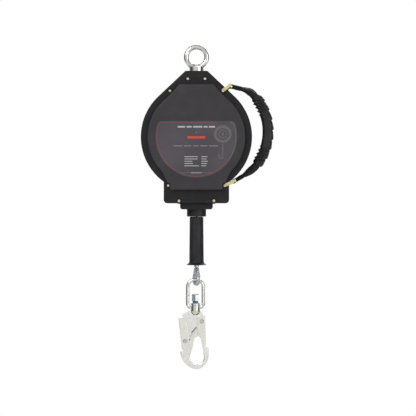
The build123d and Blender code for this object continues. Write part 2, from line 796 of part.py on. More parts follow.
leg_x = rope_radius + 0.2
leg_trim = 1.5
leg_rise = ferrule_bottom_z + leg_trim - thimble_z
leg_reach = sqrt(leg_x**2 + leg_rise**2)
wrap_angle = degrees(atan2(leg_rise, leg_x) - acos(wrap_radius / leg_reach))
with BuildPart() as rope_eye:
    with BuildLine(thimble_plane) as wrap:
        around = CenterArc((0, thimble_z), wrap_radius, wrap_angle, -180 - 2 * wrap_angle)
        Line((leg_x, ferrule_bottom_z + leg_trim), around @ 0)
        Line(around @ 1, (-leg_x, ferrule_bottom_z + leg_trim))
    with BuildSketch(Plane(origin=wrap.line @ 0, z_dir=wrap.line % 0)):
        Circle(rope_radius)
    sweep(path=wrap.line)
    split(bisect_by=Plane.XY.offset(ferrule_bottom_z), keep=Keep.BOTTOM)
save(rope_eye, "rope_eye")


def teardrop(radius, middle_z, tip_half_width, tip_z):
    """Disc with a tip above it, flanks tangent to the disc."""
    rise = tip_z - middle_z
    angle = atan2(rise, tip_half_width) - acos(radius / sqrt(rise**2 + tip_half_width**2))
    x, z = radius * cos(angle), middle_z + radius * sin(angle)
    with Locations((0, middle_z)):
        Circle(radius)
    Polygon((-tip_half_width, tip_z), (tip_half_width, tip_z), (x, z), (0, middle_z), (-x, z), align=None)


with BuildPart() as thimble:
    with BuildSketch(thimble_plane.offset(-thimble_half_width)):
        teardrop(wrap_radius + 0.8, thimble_z, rope_radius + 1.2, ferrule_bottom_z - 1.2)
    extrude(amount=2 * thimble_half_width)
    with BuildSketch(thimble_plane.offset(-thimble_half_width)):
        teardrop(thimble_eye_radius, thimble_z, 0.4, ferrule_bottom_z - 9)
    extrude(amount=2 * thimble_half_width, mode=Mode.SUBTRACT)
    with BuildLine(thimble_plane) as groove:
        around = CenterArc((0, thimble_z), wrap_radius, wrap_angle, -180 - 2 * wrap_angle)
        Line((leg_x, ferrule_bottom_z + leg_trim), around @ 0)
        Line(around @ 1, (-leg_x, ferrule_bottom_z + leg_trim))
    with BuildSketch(Plane(origin=groove.line @ 0, z_dir=groove.line % 0)):
        Circle(rope_radius)
    sweep(path=groove.line, mode=Mode.SUBTRACT)
save(thimble, "thimble")

# ================= swivel link =================
link_top_z = thimble_z - thimble_eye_radius + link_rest_gap + 2 * link_wire
link_crown_z = link_top_z - link_wire - link_half_width
link_base_z = link_top_z - link_height + link_wire
boss_top_z = link_base_z + link_wire
boss_ball_z = boss_top_z - link_boss_height
with BuildPart() as swivel_link:
    with BuildLine(Plane.XZ) as bail:
        FilletPolyline(
            (swivel_x, link_base_z), (swivel_x + link_half_width, link_base_z),
            (swivel_x + link_half_width, link_crown_z), radius=link_corner_radius,
        )
        CenterArc((swivel_x, link_crown_z), link_half_width, 0, 180)
        FilletPolyline(
            (swivel_x - link_half_width, link_crown_z), (swivel_x - link_half_width, link_base_z),
            (swivel_x, link_base_z), radius=link_corner_radius,
        )
    with BuildSketch(Plane(origin=bail.line @ 0, z_dir=bail.line % 0)):
        Circle(link_wire)
    sweep(path=bail.line)
    with BuildSketch(Plane(origin=(swivel_x, 0, 0), x_dir=(1, 0, 0), z_dir=(0, -1, 0))):
        with BuildLine():
            Line((0, boss_top_z), (link_boss_radius, boss_top_z))
            Line((link_boss_radius, boss_top_z), (link_boss_radius, boss_ball_z))
            CenterArc((0, boss_ball_z), link_boss_radius, 0, -90)
            Line((0, boss_ball_z - link_boss_radius), (0, boss_top_z))
        make_face()
    revolve(axis=Axis((swivel_x, 0, 0), (0, 0, 1)))
    with BuildSketch(Plane.XY.offset(boss_top_z + 1)):
        with Locations((swivel_x, 0)):
            Circle(stud_radius + running_clearance)
    extrude(amount=-link_boss_height - link_boss_radius - 2, mode=Mode.SUBTRACT)
save(swivel_link, "swivel_link")

# ================= snap hook =================
hook_plane = Plane(origin=(swivel_x, 0, boss_ball_z), x_dir=(1, 0, 0), z_dir=(0, -1, 0))
half_hook = hook_thickness / 2
leg_in = half_hook + body_gap
leg_out = leg_in + sheet
gate_pin = (14.5, -24.6)
lever_pin = (-23.7, -69.7)
stud_foot = -22.0

with BuildPart() as hook_body:
    with BuildSketch(hook_plane.offset(-half_hook)):
        with BuildLine():
            Polyline(
                (29.7, -103), (29.7, -86), (28.2, -83.6), (24.2, -83.6), (24.2, -98.2), (16.8, -98.2),
            )
            ThreePointArc((16.8, -98.2), (1.8, -123.3), (-10.6, -98.2))
            Polyline(
                (-10.6, -98.2), (-5.8, -82.1), (-2.5, -62.8), (6.5, -58.7), (20.6, -27), (20.6, -20),
                (18.4, -9.5), (10.8, 0.7), (-10.8, 0.7), (-17.3, -1.6), (-30.6, -8.1), (-30.6, -12.4),
                (-28.5, -16), (-28.5, -93.6), (-34.7, -93.6), (-34.7, -96),
            )
            ThreePointArc((-34.7, -96), (-20.8, -124.6), (2.3, -135))
            ThreePointArc((2.3, -135), (22.3, -124.6), (29.7, -103))
        make_face()
        Circle(link_boss_radius + body_gap, mode=Mode.SUBTRACT)
        with Locations(gate_pin, lever_pin):
            Circle(hook_pin_radius, mode=Mode.SUBTRACT)
    extrude(amount=hook_thickness)
    bend_z = boss_ball_z - 97
    faces = hook_body.faces().filter_by(Axis.Y).sort_by(Axis.Y)
    bend = [
        e for f in (faces[0], faces[-1]) for e in f.edges().filter_by(GeomType.CIRCLE)
        if e.radius > 2 * link_boss_radius or e.center().Z < bend_z
    ]
    fillet(bend, hook_bend_fillet)
    with BuildSketch(hook_plane.offset(half_hook)):
        with Locations(gate_pin, lever_pin):
            Circle(hook_pin_radius + 2.2)
            Circle(hook_pin_radius, mode=Mode.SUBTRACT)
    extrude(amount=-spring_pocket, mode=Mode.SUBTRACT)
    with BuildSketch(Plane.XY.offset(boss_ball_z)):
        with Locations((swivel_x, 0)):
            Circle(stud_radius)
    extrude(amount=stud_foot, mode=Mode.SUBTRACT)
save(hook_body, "hook_body")

flange_z = boss_top_z + body_gap
band_z = flange_z + swivel_flange_height
nut_z = band_z + band_height
with BuildPart() as swivel_stud:
    with BuildSketch(Plane.XY.offset(boss_ball_z + stud_foot)):
        with Locations((swivel_x, 0)):
            Circle(stud_radius)
    extrude(amount=nut_z + swivel_nut_height - 3 - boss_ball_z - stud_foot)
save(swivel_stud, "swivel_stud")


def make_stud_ring(name, start, height, radius, sides):
    """Ring on the swivel stud, round or with flats, edges broken."""
    with BuildPart() as ring:
        with BuildSketch(Plane.XY.offset(start)):
            with Locations((swivel_x, 0)):
                if sides:
                    RegularPolygon(radius, sides, rotation=30)
                else:
                    Circle(radius)
                Circle(stud_radius, mode=Mode.SUBTRACT)
        extrude(amount=height)
        chamfer(ring.faces().filter_by(Axis.Z).sort_by(Axis.Z)[-1].outer_wire().edges(), 0.8)
    save(ring, name)


make_stud_ring("swivel_flange", flange_z, swivel_flange_height, 10.9, 0)
make_stud_ring("load_band", band_z, band_height, 6.4, 0)

with BuildPart() as swivel_nut:
    with BuildSketch(Plane.XY.offset(nut_z)):
        with Locations((swivel_x, 0)):
            RegularPolygon(9.4, 6, rotation=30)
    extrude(amount=swivel_nut_height)
    chamfer(swivel_nut.faces().sort_by(Axis.Z)[-1].edges(), 2.2)
    with BuildSketch(Plane.XY.offset(nut_z)):
        with Locations((swivel_x, 0)):
            Circle(stud_radius)
    extrude(amount=swivel_nut_height - 3, mode=Mode.SUBTRACT)
save(swivel_nut, "swivel_nut")


def make_channel(name, outline, inner, pin):
    """Pressed sheet channel that straddles the hook: two legs and one web."""
    with BuildPart() as channel:
        with BuildSketch(hook_plane.offset(-leg_out)):
            Polygon(*outline, align=None)
        extrude(amount=2 * leg_out)
        with BuildSketch(hook_plane.offset(-leg_in)):
            Polygon(*inner, align=None)
        extrude(amount=2 * leg_in, mode=Mode.SUBTRACT)
        with BuildSketch(hook_plane.offset(-leg_out)):
            with Locations(pin):
                Circle(hook_pin_radius + running_clearance)
        extrude(amount=2 * leg_out, mode=Mode.SUBTRACT)
    save(channel, name)


gate_outline = [
    (4.2, -15), (7, -11.3), (20, -11.3), (23.4, -14.5), (23.4, -97.4), (18.6, -97.4), (12, -64),
    (4.6, -55),
]
gate_inner = [(-9, -5), (23.4 - sheet, -5), (23.4 - sheet, -104), (-9, -104)]
lever_outline = [
    (-38.9, -16.5), (-36.5, -14.5), (-19.6, -22.3), (-17.3, -52.2), (-16.1, -61.4), (-13.8, -70.6),
    (-21.2, -89.2), (-31.5, -90.2),
]
lever_inner = [(-38.9 + sheet, -16.5), (-38.4 + sheet, -5), (0, -5), (0, -100), (-30.5 + sheet, -100)]
make_channel("gate", gate_outline, gate_inner, gate_pin)
make_channel("lock_lever", lever_outline, lever_inner, lever_pin)


def make_rivet(name, pin):
    """Hinge rivet through the hook and both legs of its channel, domed heads outside."""
    with BuildPart() as rivet:
        with BuildSketch(hook_plane.offset(-leg_out - loose_gap)):
            with Locations(pin):
                Circle(hook_pin_radius)
        extrude(amount=2 * (leg_out + loose_gap))
        for side in (1, -1):
            with BuildSketch(hook_plane.offset(side * (leg_out + loose_gap))):
                with Locations(pin):
                    Circle(rivet_head_radius)
            extrude(amount=side * rivet_head_height)
        ends = rivet.faces().filter_by(Axis.Y).sort_by(Axis.Y)
        chamfer(ends[0].edges() + ends[-1].edges(), 0.9)
    save(rivet, name)


make_rivet("gate_rivet", gate_pin)
make_rivet("lever_rivet", lever_pin)
for spring_name, spring_pin in (("gate_spring", gate_pin), ("lever_spring", lever_pin)):
    spring_middle = (swivel_x + spring_pin[0], 0.7 - half_hook, boss_ball_z + spring_pin[1])
    make_coil(spring_name, [spring_middle], 0.5, hook_pin_radius + 1.1, 1.3, spring_pocket - 1.4)

# ================= carry handle =================
handle_middle = (40.2, -170.9)
handle_start = 40.3
handle_end = -38.0
upper_bar = (76.4, -66.4)
lower_bar = (86.0, -285.5)


def make_yoke(name, screw, bar):
    """U-shaped strap bracket: flat legs under the screw head and nut, round bar between them."""
    slant = degrees(atan2(bar[1] - screw[1], bar[0] - screw[0]))
    reach = sqrt((bar[0] - screw[0]) ** 2 + (bar[1] - screw[1]) ** 2)
    middle = ((screw[0] + bar[0]) / 2, (screw[1] + bar[1]) / 2)
    with BuildPart() as yoke:
        for side in (1, -1):
            with BuildSketch(depth_plane(side * flange_depth)):
                with Locations(Location(middle, slant)):
                    SlotCenterToCenter(reach, 2 * clip_half_width)
                with Locations(screw):
                    Circle(screw_radius, mode=Mode.SUBTRACT)
            extrude(amount=side * clip_thickness)
        with BuildSketch(depth_plane(-flange_depth)):
            with Locations(bar):
                Circle(handle_bar_radius)
        extrude(amount=2 * flange_depth)
    save(yoke, name)


make_yoke("upper_yoke", upper_clip_screw, upper_bar)
make_yoke("lower_yoke", lower_clip_screw, lower_bar)


def handle_point(angle, out=0.0):
    """Point on the handle's centre arc, moved outwards by out."""
    r = handle_arc_radius + out
    return (handle_middle[0] + r * cos(radians(angle)), handle_middle[1] + r * sin(radians(angle)))


def taper(start, start_half, stop, stop_half, mode=Mode.ADD):
    """Strip between two points with round ends, its half width changing evenly."""
    slant = atan2(stop[1] - start[1], stop[0] - start[0])
    nx, nz = -sin(slant), cos(slant)
    with Locations(start):
        Circle(start_half, mode=mode)
    with Locations(stop):
        Circle(stop_half, mode=mode)
    Polygon(
        (start[0] - nx * start_half, start[1] - nz * start_half),
        (stop[0] - nx * stop_half, stop[1] - nz * stop_half),
        (stop[0] + nx * stop_half, stop[1] + nz * stop_half),
        (start[0] + nx * start_half, start[1] + nz * start_half), align=None, mode=mode,
    )


def strap_end(bar, join, neck, grip_angle, lead):
    """Webbing folded round the bar, two plies to the join, then gathered into the grip."""
    loop_in = handle_bar_radius + loose_gap
    split_point = (bar[0] + 0.75 * (join[0] - bar[0]), bar[1] + 0.75 * (join[1] - bar[1]))
    bulk = handle_point(grip_angle + lead)
    taper(bar, loop_in + webbing_thickness, join, webbing_thickness)
    taper(bar, loop_in, split_point, 0.3, Mode.SUBTRACT)
    taper(join, webbing_thickness, neck, 1.4 * webbing_thickness)
    taper(neck, 1.4 * webbing_thickness, bulk, 0.8 * strap_half_bulk)
    Polygon(
        handle_point(grip_angle + lead, strap_half_bulk), handle_point(grip_angle, strap_half_bulk),
        handle_point(grip_angle, -strap_half_bulk), handle_point(grip_angle + lead, -strap_half_bulk),
        align=None,
    )


with BuildPart() as handle_webbing:
    with BuildSketch(depth_plane(-webbing_width / 2)):
        strap_end(upper_bar, (103.0, -73.0), (113.0, -75.6), handle_start, 5)
        strap_end(lower_bar, (108.0, -272.5), (115.0, -268.5), handle_end, -5)
        with BuildLine():
            for half in (-1, 1):
                ply = handle_arc_radius + half * webbing_thickness
                CenterArc(handle_middle, ply, handle_end, handle_start - handle_end)
            for stop in (handle_start, handle_end):
                Line(handle_point(stop, -webbing_thickness), handle_point(stop, webbing_thickness))
        make_face()
    extrude(amount=webbing_width)
save(handle_webbing, "handle_webbing")

grip_start_plane = Plane(
    origin=(handle_middle[0], 0, handle_middle[1]),
    x_dir=(cos(radians(handle_start)), 0, sin(radians(handle_start))),
    z_dir=(-sin(radians(handle_start)), 0, cos(radians(handle_start))),
)
with BuildPart() as handle_grip:
    with BuildSketch(grip_start_plane):
        with Locations((handle_arc_radius, 0)):
            RectangleRounded(2 * handle_grip_radius, 2 * grip_half_width, 12)
            Rectangle(2 * webbing_thickness, webbing_width, mode=Mode.SUBTRACT)
    handle_axis = Axis((handle_middle[0], 0, handle_middle[1]), (0, 1, 0))
    revolve(axis=handle_axis, revolution_arc=handle_start - handle_end)
save(handle_grip, "handle_grip")
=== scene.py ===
from itertools import product
from math import acos, atan2, cos, degrees, pi, radians, sin, sqrt
import bmesh
import bpy
from mathutils import Matrix, Vector


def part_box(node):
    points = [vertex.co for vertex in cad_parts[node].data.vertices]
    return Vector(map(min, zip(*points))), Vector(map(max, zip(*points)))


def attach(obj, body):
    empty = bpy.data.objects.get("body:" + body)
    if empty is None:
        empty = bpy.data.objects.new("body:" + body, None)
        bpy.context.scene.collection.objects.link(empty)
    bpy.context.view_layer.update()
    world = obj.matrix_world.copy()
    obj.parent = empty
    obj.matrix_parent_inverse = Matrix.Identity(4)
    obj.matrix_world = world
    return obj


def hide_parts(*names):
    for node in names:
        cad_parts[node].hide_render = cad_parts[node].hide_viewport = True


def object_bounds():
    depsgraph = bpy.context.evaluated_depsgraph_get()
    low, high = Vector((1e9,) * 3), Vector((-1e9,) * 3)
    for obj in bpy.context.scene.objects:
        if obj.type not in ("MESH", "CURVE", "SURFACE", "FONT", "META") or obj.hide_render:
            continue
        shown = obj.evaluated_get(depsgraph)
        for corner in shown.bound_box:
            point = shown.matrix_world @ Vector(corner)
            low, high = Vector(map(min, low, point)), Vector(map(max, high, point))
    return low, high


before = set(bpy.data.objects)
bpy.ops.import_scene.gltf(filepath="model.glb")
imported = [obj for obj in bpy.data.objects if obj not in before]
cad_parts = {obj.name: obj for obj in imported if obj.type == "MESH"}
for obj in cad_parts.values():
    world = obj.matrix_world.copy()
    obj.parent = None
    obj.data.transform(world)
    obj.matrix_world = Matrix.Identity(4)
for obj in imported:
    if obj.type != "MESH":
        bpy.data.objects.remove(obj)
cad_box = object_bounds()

# Covers: two moulded halves of black glass-filled nylon, screwed together through bosses.
# The raised dome has a spark-eroded texture that looks greyer than the smooth flange round it,
# and handling leaves fine scuffs and a little grey dust on it.
mm = 0.001
flange_face = 43.0 * mm
grey_fade = 1.5 * mm
soft_specular = 0.28
dome_face = -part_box("front_cover")[0].y


def new_finish(name, colour, roughness, metallic=0.0):
    """Material whose even values sit on the shader's own sockets."""
    finish = bpy.data.materials.new(name)
    finish.use_nodes = True
    shader = finish.node_tree.nodes["Principled BSDF"]
    shader.inputs["Base Color"].default_value = (*colour, 1)
    shader.inputs["Roughness"].default_value = roughness
    shader.inputs["Metallic"].default_value = metallic
    shader.inputs["Specular IOR Level"].default_value = 0.5 if metallic else soft_specular
    return finish


def add_node(finish, kind, **values):
    """One shader node, its inputs set by name."""
    node = finish.node_tree.nodes.new(kind)
    for key, value in values.items():
        if hasattr(node, key):
            setattr(node, key, value)
        else:
            node.inputs[key.replace("_", " ").title()].default_value = value
    return node


def join(finish, source, target):
    """Link from one socket to another."""
    finish.node_tree.links.new(source, target)


def shader_of(finish):
    """The material's one surface shader."""
    return finish.node_tree.nodes["Principled BSDF"]


def speckle(finish, scale, detail=4.0, stretch=(1, 1, 1)):
    """Noise in the object's own coordinates; stretch draws it out along an axis."""
    place = add_node(finish, "ShaderNodeTexCoord")
    squeeze = add_node(finish, "ShaderNodeMapping")
    squeeze.inputs["Scale"].default_value = stretch
    noise = add_node(finish, "ShaderNodeTexNoise", Scale=scale, Detail=detail)
    join(finish, place.outputs["Object"], squeeze.inputs["Vector"])
    join(finish, squeeze.outputs["Vector"], noise.inputs["Vector"])
    return noise.outputs["Fac"]


def graded(finish, mask, stops):
    """Colour ramp over a mask, given as (position, colour) pairs."""
    ramp = add_node(finish, "ShaderNodeValToRGB")
    while len(ramp.color_ramp.elements) < len(stops):
        ramp.color_ramp.elements.new(0.5)
    for element, (position, colour) in zip(ramp.color_ramp.elements, stops):
        element.position = position
        element.color = (*colour, 1)
    join(finish, mask, ramp.inputs["Fac"])
    return ramp.outputs["Color"]


def ranged(finish, mask, low, high, low_to, high_to):
    """Mask stretched from one range to another."""
    stretch = add_node(finish, "ShaderNodeMapRange")
    for key, value in (("From Min", low), ("From Max", high), ("To Min", low_to), ("To Max", high_to)):
        stretch.inputs[key].default_value = value
    join(finish, mask, stretch.inputs["Value"])
    return stretch.outputs["Result"]


def relief(finish, mask, depth, strength=1.0, under=None):
    """Bump of the given depth in metres, over another bump if there is one."""
    bump = add_node(finish, "ShaderNodeBump", Distance=depth, Strength=strength)
    join(finish, mask, bump.inputs["Height"])
    if under:
        join(finish, under, bump.inputs["Normal"])
    join(finish, bump.outputs["Normal"], shader_of(finish).inputs["Normal"])
    return bump.outputs["Normal"]


def coloured(finish, colour):
    """Feeds the shader's base colour."""
    join(finish, colour, shader_of(finish).inputs["Base Color"])


def glossed(finish, mask, low, high):
    """Feeds the shader's roughness from a mask, between two values."""
    join(finish, ranged(finish, mask, 0.3, 0.7, low, high), shader_of(finish).inputs["Roughness"])


def mixed(finish, mask, first, second):
    """Colour that goes from the first to the second with the mask."""
    blend = finish.node_tree.nodes.new("ShaderNodeMix")
    blend.data_type = "RGBA"
    join(finish, mask, blend.inputs[0])
    join(finish, first, blend.inputs[6])
    join(finish, second, blend.inputs[7])
    return blend.outputs[2]


def dress(node, finish):
    """Gives a CAD node its finish, in every slot."""
    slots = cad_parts[node].material_slots
    for one in slots:
        one.material = finish


nylon = new_finish("moulded_nylon", (0.013, 0.012, 0.014), 0.5)
smooth_black = graded(
    nylon, speckle(nylon, 40), [(0.3, (0.0045, 0.0042, 0.005)), (0.75, (0.009, 0.0085, 0.0096))]
)
textured_grey = graded(
    nylon, speckle(nylon, 26, 6),
    [(0.25, (0.026, 0.024, 0.0275)), (0.55, (0.032, 0.0295, 0.034)), (0.8, (0.04, 0.037, 0.042))],
)
height = add_node(nylon, "ShaderNodeSeparateXYZ")
place = add_node(nylon, "ShaderNodeTexCoord")
outward = add_node(nylon, "ShaderNodeMath", operation="ABSOLUTE")
join(nylon, place.outputs["Object"], height.inputs["Vector"])
join(nylon, height.outputs["Y"], outward.inputs[0])
on_dome = ranged(nylon, outward.outputs[0], flange_face, flange_face + grey_fade, 0, 1)
black_to_grey = mixed(nylon, on_dome, smooth_black, textured_grey)
scuffs = ranged(nylon, speckle(nylon, 300, 5, (0.12, 1, 1)), 0.66, 0.78, 0, 0.35)
scuff_colour = add_node(nylon, "ShaderNodeRGB")
scuff_colour.outputs[0].default_value = (0.09, 0.087, 0.088, 1)
coloured(nylon, mixed(nylon, scuffs, black_to_grey, scuff_colour.outputs[0]))
glossed(nylon, speckle(nylon, 90, 5), 0.42, 0.6)
spark_texture = relief(nylon, speckle(nylon, 2600, 2), 0.06 * mm, 0.5)
relief(nylon, speckle(nylon, 60, 2), 0.25 * mm, 0.25, spark_texture)
for cover in ("front_cover", "rear_cover"):
    dress(cover, nylon)

# Seam gasket: black foam rubber strip squeezed between the two covers.
# It shows as a thin matt line all round the edge.
foam = new_finish("gasket_foam", (0.012, 0.012, 0.012), 0.85)
coloured(foam, graded(foam, speckle(foam, 500), [(0.3, (0.006, 0.006, 0.006)), (0.7, (0.02, 0.02, 0.02))]))
relief(foam, speckle(foam, 1800, 3), 0.1 * mm, 0.8)
dress("seam_gasket", foam)

# Cover and handle screws: steel button heads and nuts, zinc plated and passivated pale yellow.
# The plating is cloudy, uneven in gloss and finely tool marked.


def plated(name, dark, light, roughness, scale=180, brushed=(1, 1, 1)):
    """Plated metal: cloudy colour, uneven gloss and a very fine tool mark relief."""
    metal = new_finish(name, light, roughness, 1.0)
    coloured(metal, graded(metal, speckle(metal, scale, 5), [(0.2, dark), (0.6, light)]))
    glossed(metal, speckle(metal, scale * 2, 4, brushed), roughness * 0.75, roughness * 1.3)
    relief(metal, speckle(metal, scale * 5, 3, brushed), 0.04 * mm, 0.5)
    return metal


yellow_screw = plated("pale_yellow_zinc", (0.42, 0.36, 0.2), (0.82, 0.76, 0.5), 0.34)
for node in ("cover_screws", "handle_screws", "cover_nuts", "handle_nuts"):
    dress(node, yellow_screw)

# Front label: printed polyester film laid flush in a shallow recess of the dome.
# Dark grey ground with a dusty red border that turns grey on the right, and plain printed
# bars, a small table and a drum pictogram in place of wording.
label_face = dome_face
shaft_z = -184.5 * mm
label_radius = 93 * mm
label_cut = 35.5 * mm
border_inset = 3 * mm
border_corner = 8 * mm
ink_thickness = 0.12 * mm
pale_ink = (0.42, 0.41, 0.42)
dim_ink = (0.2, 0.19, 0.2)
dusty_red = (0.235, 0.055, 0.06)
bright_red = (0.62, 0.06, 0.035)

film = new_finish("label_film", (0.07, 0.061, 0.072), 0.38)
ground = graded(film, speckle(film, 14, 3), [(0.3, (0.058, 0.051, 0.06)), (0.7, (0.078, 0.069, 0.08))])
hairlines = ranged(film, speckle(film, 700, 3, (0.03, 1, 1)), 0.72, 0.8, 0, 0.3)
hairline_colour = add_node(film, "ShaderNodeRGB")
hairline_colour.outputs[0].default_value = (0.16, 0.15, 0.16, 1)
coloured(film, mixed(film, hairlines, ground, hairline_colour.outputs[0]))
glossed(film, speckle(film, 50, 4), 0.3, 0.46)
relief(film, speckle(film, 35, 2), 0.1 * mm, 0.15)
for node in ("front_label", "rear_label"):
    dress(node, film)


def printed_ink(name, colour):
    """Screen printed ink: slightly uneven in colour and gloss."""
    ink = new_finish(name, colour, 0.42)
    worn = tuple(0.8 * c for c in colour)
    coloured(ink, graded(ink, speckle(ink, 420, 4), [(0.3, worn), (0.62, colour)]))
    relief(ink, speckle(ink, 2500, 2), 0.01 * mm, 0.5)
    return ink


def add_piece(name, mesh, finish, body):
    """Shows a finished mesh in the row frame, on its body, with its finish."""
    piece = bpy.data.objects.new(name, mesh)
    bpy.context.scene.collection.objects.link(piece)
    mesh.materials.append(finish)
    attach(piece, body)
    return piece


def slab_mesh(name, outlines, near_y, far_y):
    """Flat prisms between two depths, one for each closed outline of (x, z) points."""
    form = bmesh.new()
    for outline in outlines:
        near = [form.verts.new((x, near_y, z)) for x, z in outline]
        far = [form.verts.new((x, far_y, z)) for x, z in outline]
        form.faces.new(near)
        form.faces.new(far[::-1])
        for k in range(len(outline)):
            form.faces.new((near[k - 1], far[k - 1], far[k], near[k]))
    bmesh.ops.recalc_face_normals(form, faces=form.faces)
    mesh = bpy.data.meshes.new(name)
    form.to_mesh(mesh)
    form.free()
    return mesh


def arc_points(middle, radius, start, stop, count):
    """Points along an arc, angles in degrees from +X towards +Z."""
    turns = [radians(start + (stop - start) * k / count) for k in range(count + 1)]
    return [(middle[0] + radius * cos(a), middle[1] + radius * sin(a)) for a in turns]


def bar_outline(x, z, width, height, corner):
    """Rounded bar about a point."""
    out = []
    for side_x, side_z, start in ((1, 1, 0), (-1, 1, 90), (-1, -1, 180), (1, -1, 270)):
        middle = (x + side_x * (width / 2 - corner), z + side_z * (height / 2 - corner))
        out += arc_points(middle, corner, start, start + 90, 4)
    return out


def band_outline(path, half_width):
    """Closed outline of a thin band that follows an open path."""
    left, right = [], []
    for k, point in enumerate(path):
        before, after = path[max(k - 1, 0)], path[min(k + 1, len(path) - 1)]
        along = Vector((after[0] - before[0], after[1] - before[1])).normalized()
        left.append((point[0] - along.y * half_width, point[1] + along.x * half_width))
        right.append((point[0] + along.y * half_width, point[1] - along.x * half_width))
    return left + right[::-1]


def label_edge(inset, corner):
    """Label outline from the middle of its top edge, leftwards and all the way round."""
    radius, cut = label_radius - inset, label_cut - inset
    lean = degrees(atan2(cut - corner, sqrt((radius - corner) ** 2 - (cut - corner) ** 2)))
    corner_x, corner_z = (radius - corner) * cos(radians(lean)), shaft_z + cut - corner
    edge = [(0, shaft_z + cut)]
    edge += arc_points((-corner_x, corner_z), corner, 90, 180 - lean, 8)
    edge += arc_points((0, shaft_z), radius, 180 - lean, 360 + lean, 90)[1:-1]
    edge += arc_points((corner_x, corner_z), corner, lean, 90, 8)
    return edge + [(0, shaft_z + cut)]


def print_piece(name, outlines, ink, front=True):
    """Ink standing a hair proud of the label film."""
    side = -1 if front else 1
    mesh = slab_mesh(name, outlines, side * (label_face - 0.02 * mm), side * (label_face + ink_thickness))
    return add_piece(name, mesh, ink, "housing")


pale = printed_ink("pale_grey_ink", pale_ink)
dim = printed_ink("dim_grey_ink", dim_ink)
border_red = printed_ink("dusty_red_ink", dusty_red)
heading_red = printed_ink("bright_red_ink", bright_red)
edge = label_edge(border_inset, border_corner)
red_end = 78
red_half_line, grey_half_line = 0.6 * mm, 0.35 * mm


def bar_row(z, bars, height, corner):
    """Row of printed bars, each given in millimetres as (middle, width)."""
    return [bar_outline(x * mm, z, width * mm, height, corner) for x, width in bars]


edge_top = edge[0][1]
red_top = [(0, edge_top), (46 * mm, edge_top)]
print_piece("border_red_left", [band_outline(edge[:red_end], red_half_line)], border_red)
print_piece("border_grey_right", [band_outline(edge[red_end - 1:-1], grey_half_line)], dim)
print_piece("border_red_top", [band_outline(red_top, red_half_line)], border_red)
heading_z = label_cut + shaft_z - 13 * mm
heading = [(-34, 17), (-16.5, 12), (3, 21), (21, 9), (35.5, 14)]
print_piece("heading_bars", bar_row(heading_z, heading, 3.6 * mm, 0.9 * mm), pale)
print_piece("heading_dot", bar_row(heading_z - 12.5 * mm, [(0, 6)], 1.2 * mm, 0.5 * mm), dim)
print_piece("heading_red_bar", bar_row(heading_z - 24 * mm, [(0, 41)], 5.2 * mm, 1.2 * mm), heading_red)
line_z = heading_z - 43.5 * mm
line = [(-42, 20), (-20, 17), (-1, 13), (17, 16), (39, 21)]
print_piece("line_bars", bar_row(line_z, line, 2.2 * mm, 0.7 * mm), dim)
table_z = line_z - 24.5 * mm
table_rows = [(31, 14), (30, 12), (18, 15), (19, 13), (33, 11)]
table_left, table_right, row_drop = -27, 11, 5.2 * mm
table_cells = []
for row, (first, second) in enumerate(table_rows):
    cells = [(table_left + first / 2, first), (table_right + second / 2, second)]
    table_cells += bar_row(table_z - row_drop * row, cells, 1.7 * mm, 0.5 * mm)
print_piece("table_bars", table_cells, pale)
foot_z = table_z - 36.5 * mm
print_piece("foot_rule", bar_row(foot_z, [(0, 80)], 0.6 * mm, 0.2 * mm), dim)
print_piece("foot_bar", bar_row(foot_z, [(0, 24)], 2.0 * mm, 0.6 * mm), pale)
drum_x, drum_z = 60 * mm, shaft_z + 6 * mm
drum_shapes = [
    band_outline(arc_points((drum_x, drum_z), 17 * mm, 0, 359, 60), 3.2 * mm),
    band_outline(arc_points((drum_x, drum_z), 9 * mm, 0, 359, 40), 1.2 * mm),
    arc_points((drum_x, drum_z), 3.6 * mm, 0, 345, 23),
    bar_outline(drum_x, drum_z - 36 * mm, 2.6 * mm, 26 * mm, 1.0 * mm),
    band_outline(arc_points((drum_x - 4 * mm, drum_z - 50 * mm), 5.2 * mm, 0, -230, 24), 1.2 * mm),
]
print_piece("drum_pictogram", drum_shapes, printed_ink("mid_grey_ink", (0.125, 0.115, 0.125)))

# Rear label: the same film behind the shaft, with a thin border and a plain record table.
# The rows are blank boxes for inspection marks.
rear_half_width, rear_half_height = 45 * mm, 28 * mm
frame_line = bar_outline(0, shaft_z, 2 * rear_half_width, 2 * rear_half_height, 5 * mm)
print_piece("rear_border", [band_outline(frame_line + frame_line[:1], 0.4 * mm)], dim, front=False)
ruled, rule_corner = 0.5 * mm, 0.2 * mm
row_pitch, row_reach = 9 * mm, 78 * mm
rear_rows = [bar_outline(0, shaft_z + (2 - k) * row_pitch, row_reach, ruled, rule_corner) for k in range(5)]
rear_rows += [bar_outline(x * mm, shaft_z, ruled, 4 * row_pitch, rule_corner) for x in (-39, -12, 14, 39)]
print_piece("rear_table", rear_rows, dim, front=False)
print_piece("rear_heading", bar_row(shaft_z + 23 * mm, [(0, 44)], 3 * mm, 0.8 * mm), pale, front=False)

# Inner frame: zinc plated steel side plates, spacers and screws that carry the load.
# Hidden inside the covers, seen only where the covers are taken off.
zinc_plate = plated("plain_zinc", (0.38, 0.4, 0.42), (0.6, 0.62, 0.64), 0.36)
inner_frame = (
    "front_frame_plate", "rear_frame_plate", "frame_spacers", "frame_screws", "ring_screws", "block_screws",
    "suspension_block", "shaft_nuts", "shaft_washers", "eye_washer", "eye_nut", "eye_cotter",
)
for node in inner_frame:
    dress(node, zinc_plate)

# Shaft, pawls, pins and ratchet ring: hardened steel, ground bright along the length.
ground_steel = plated("ground_steel", (0.3, 0.3, 0.31), (0.52, 0.52, 0.54), 0.26, 220, (1, 8, 1))
for node in ("main_shaft", "pawl_a", "pawl_b", "pawl_pins", "ratchet_ring"):
    dress(node, ground_steel)

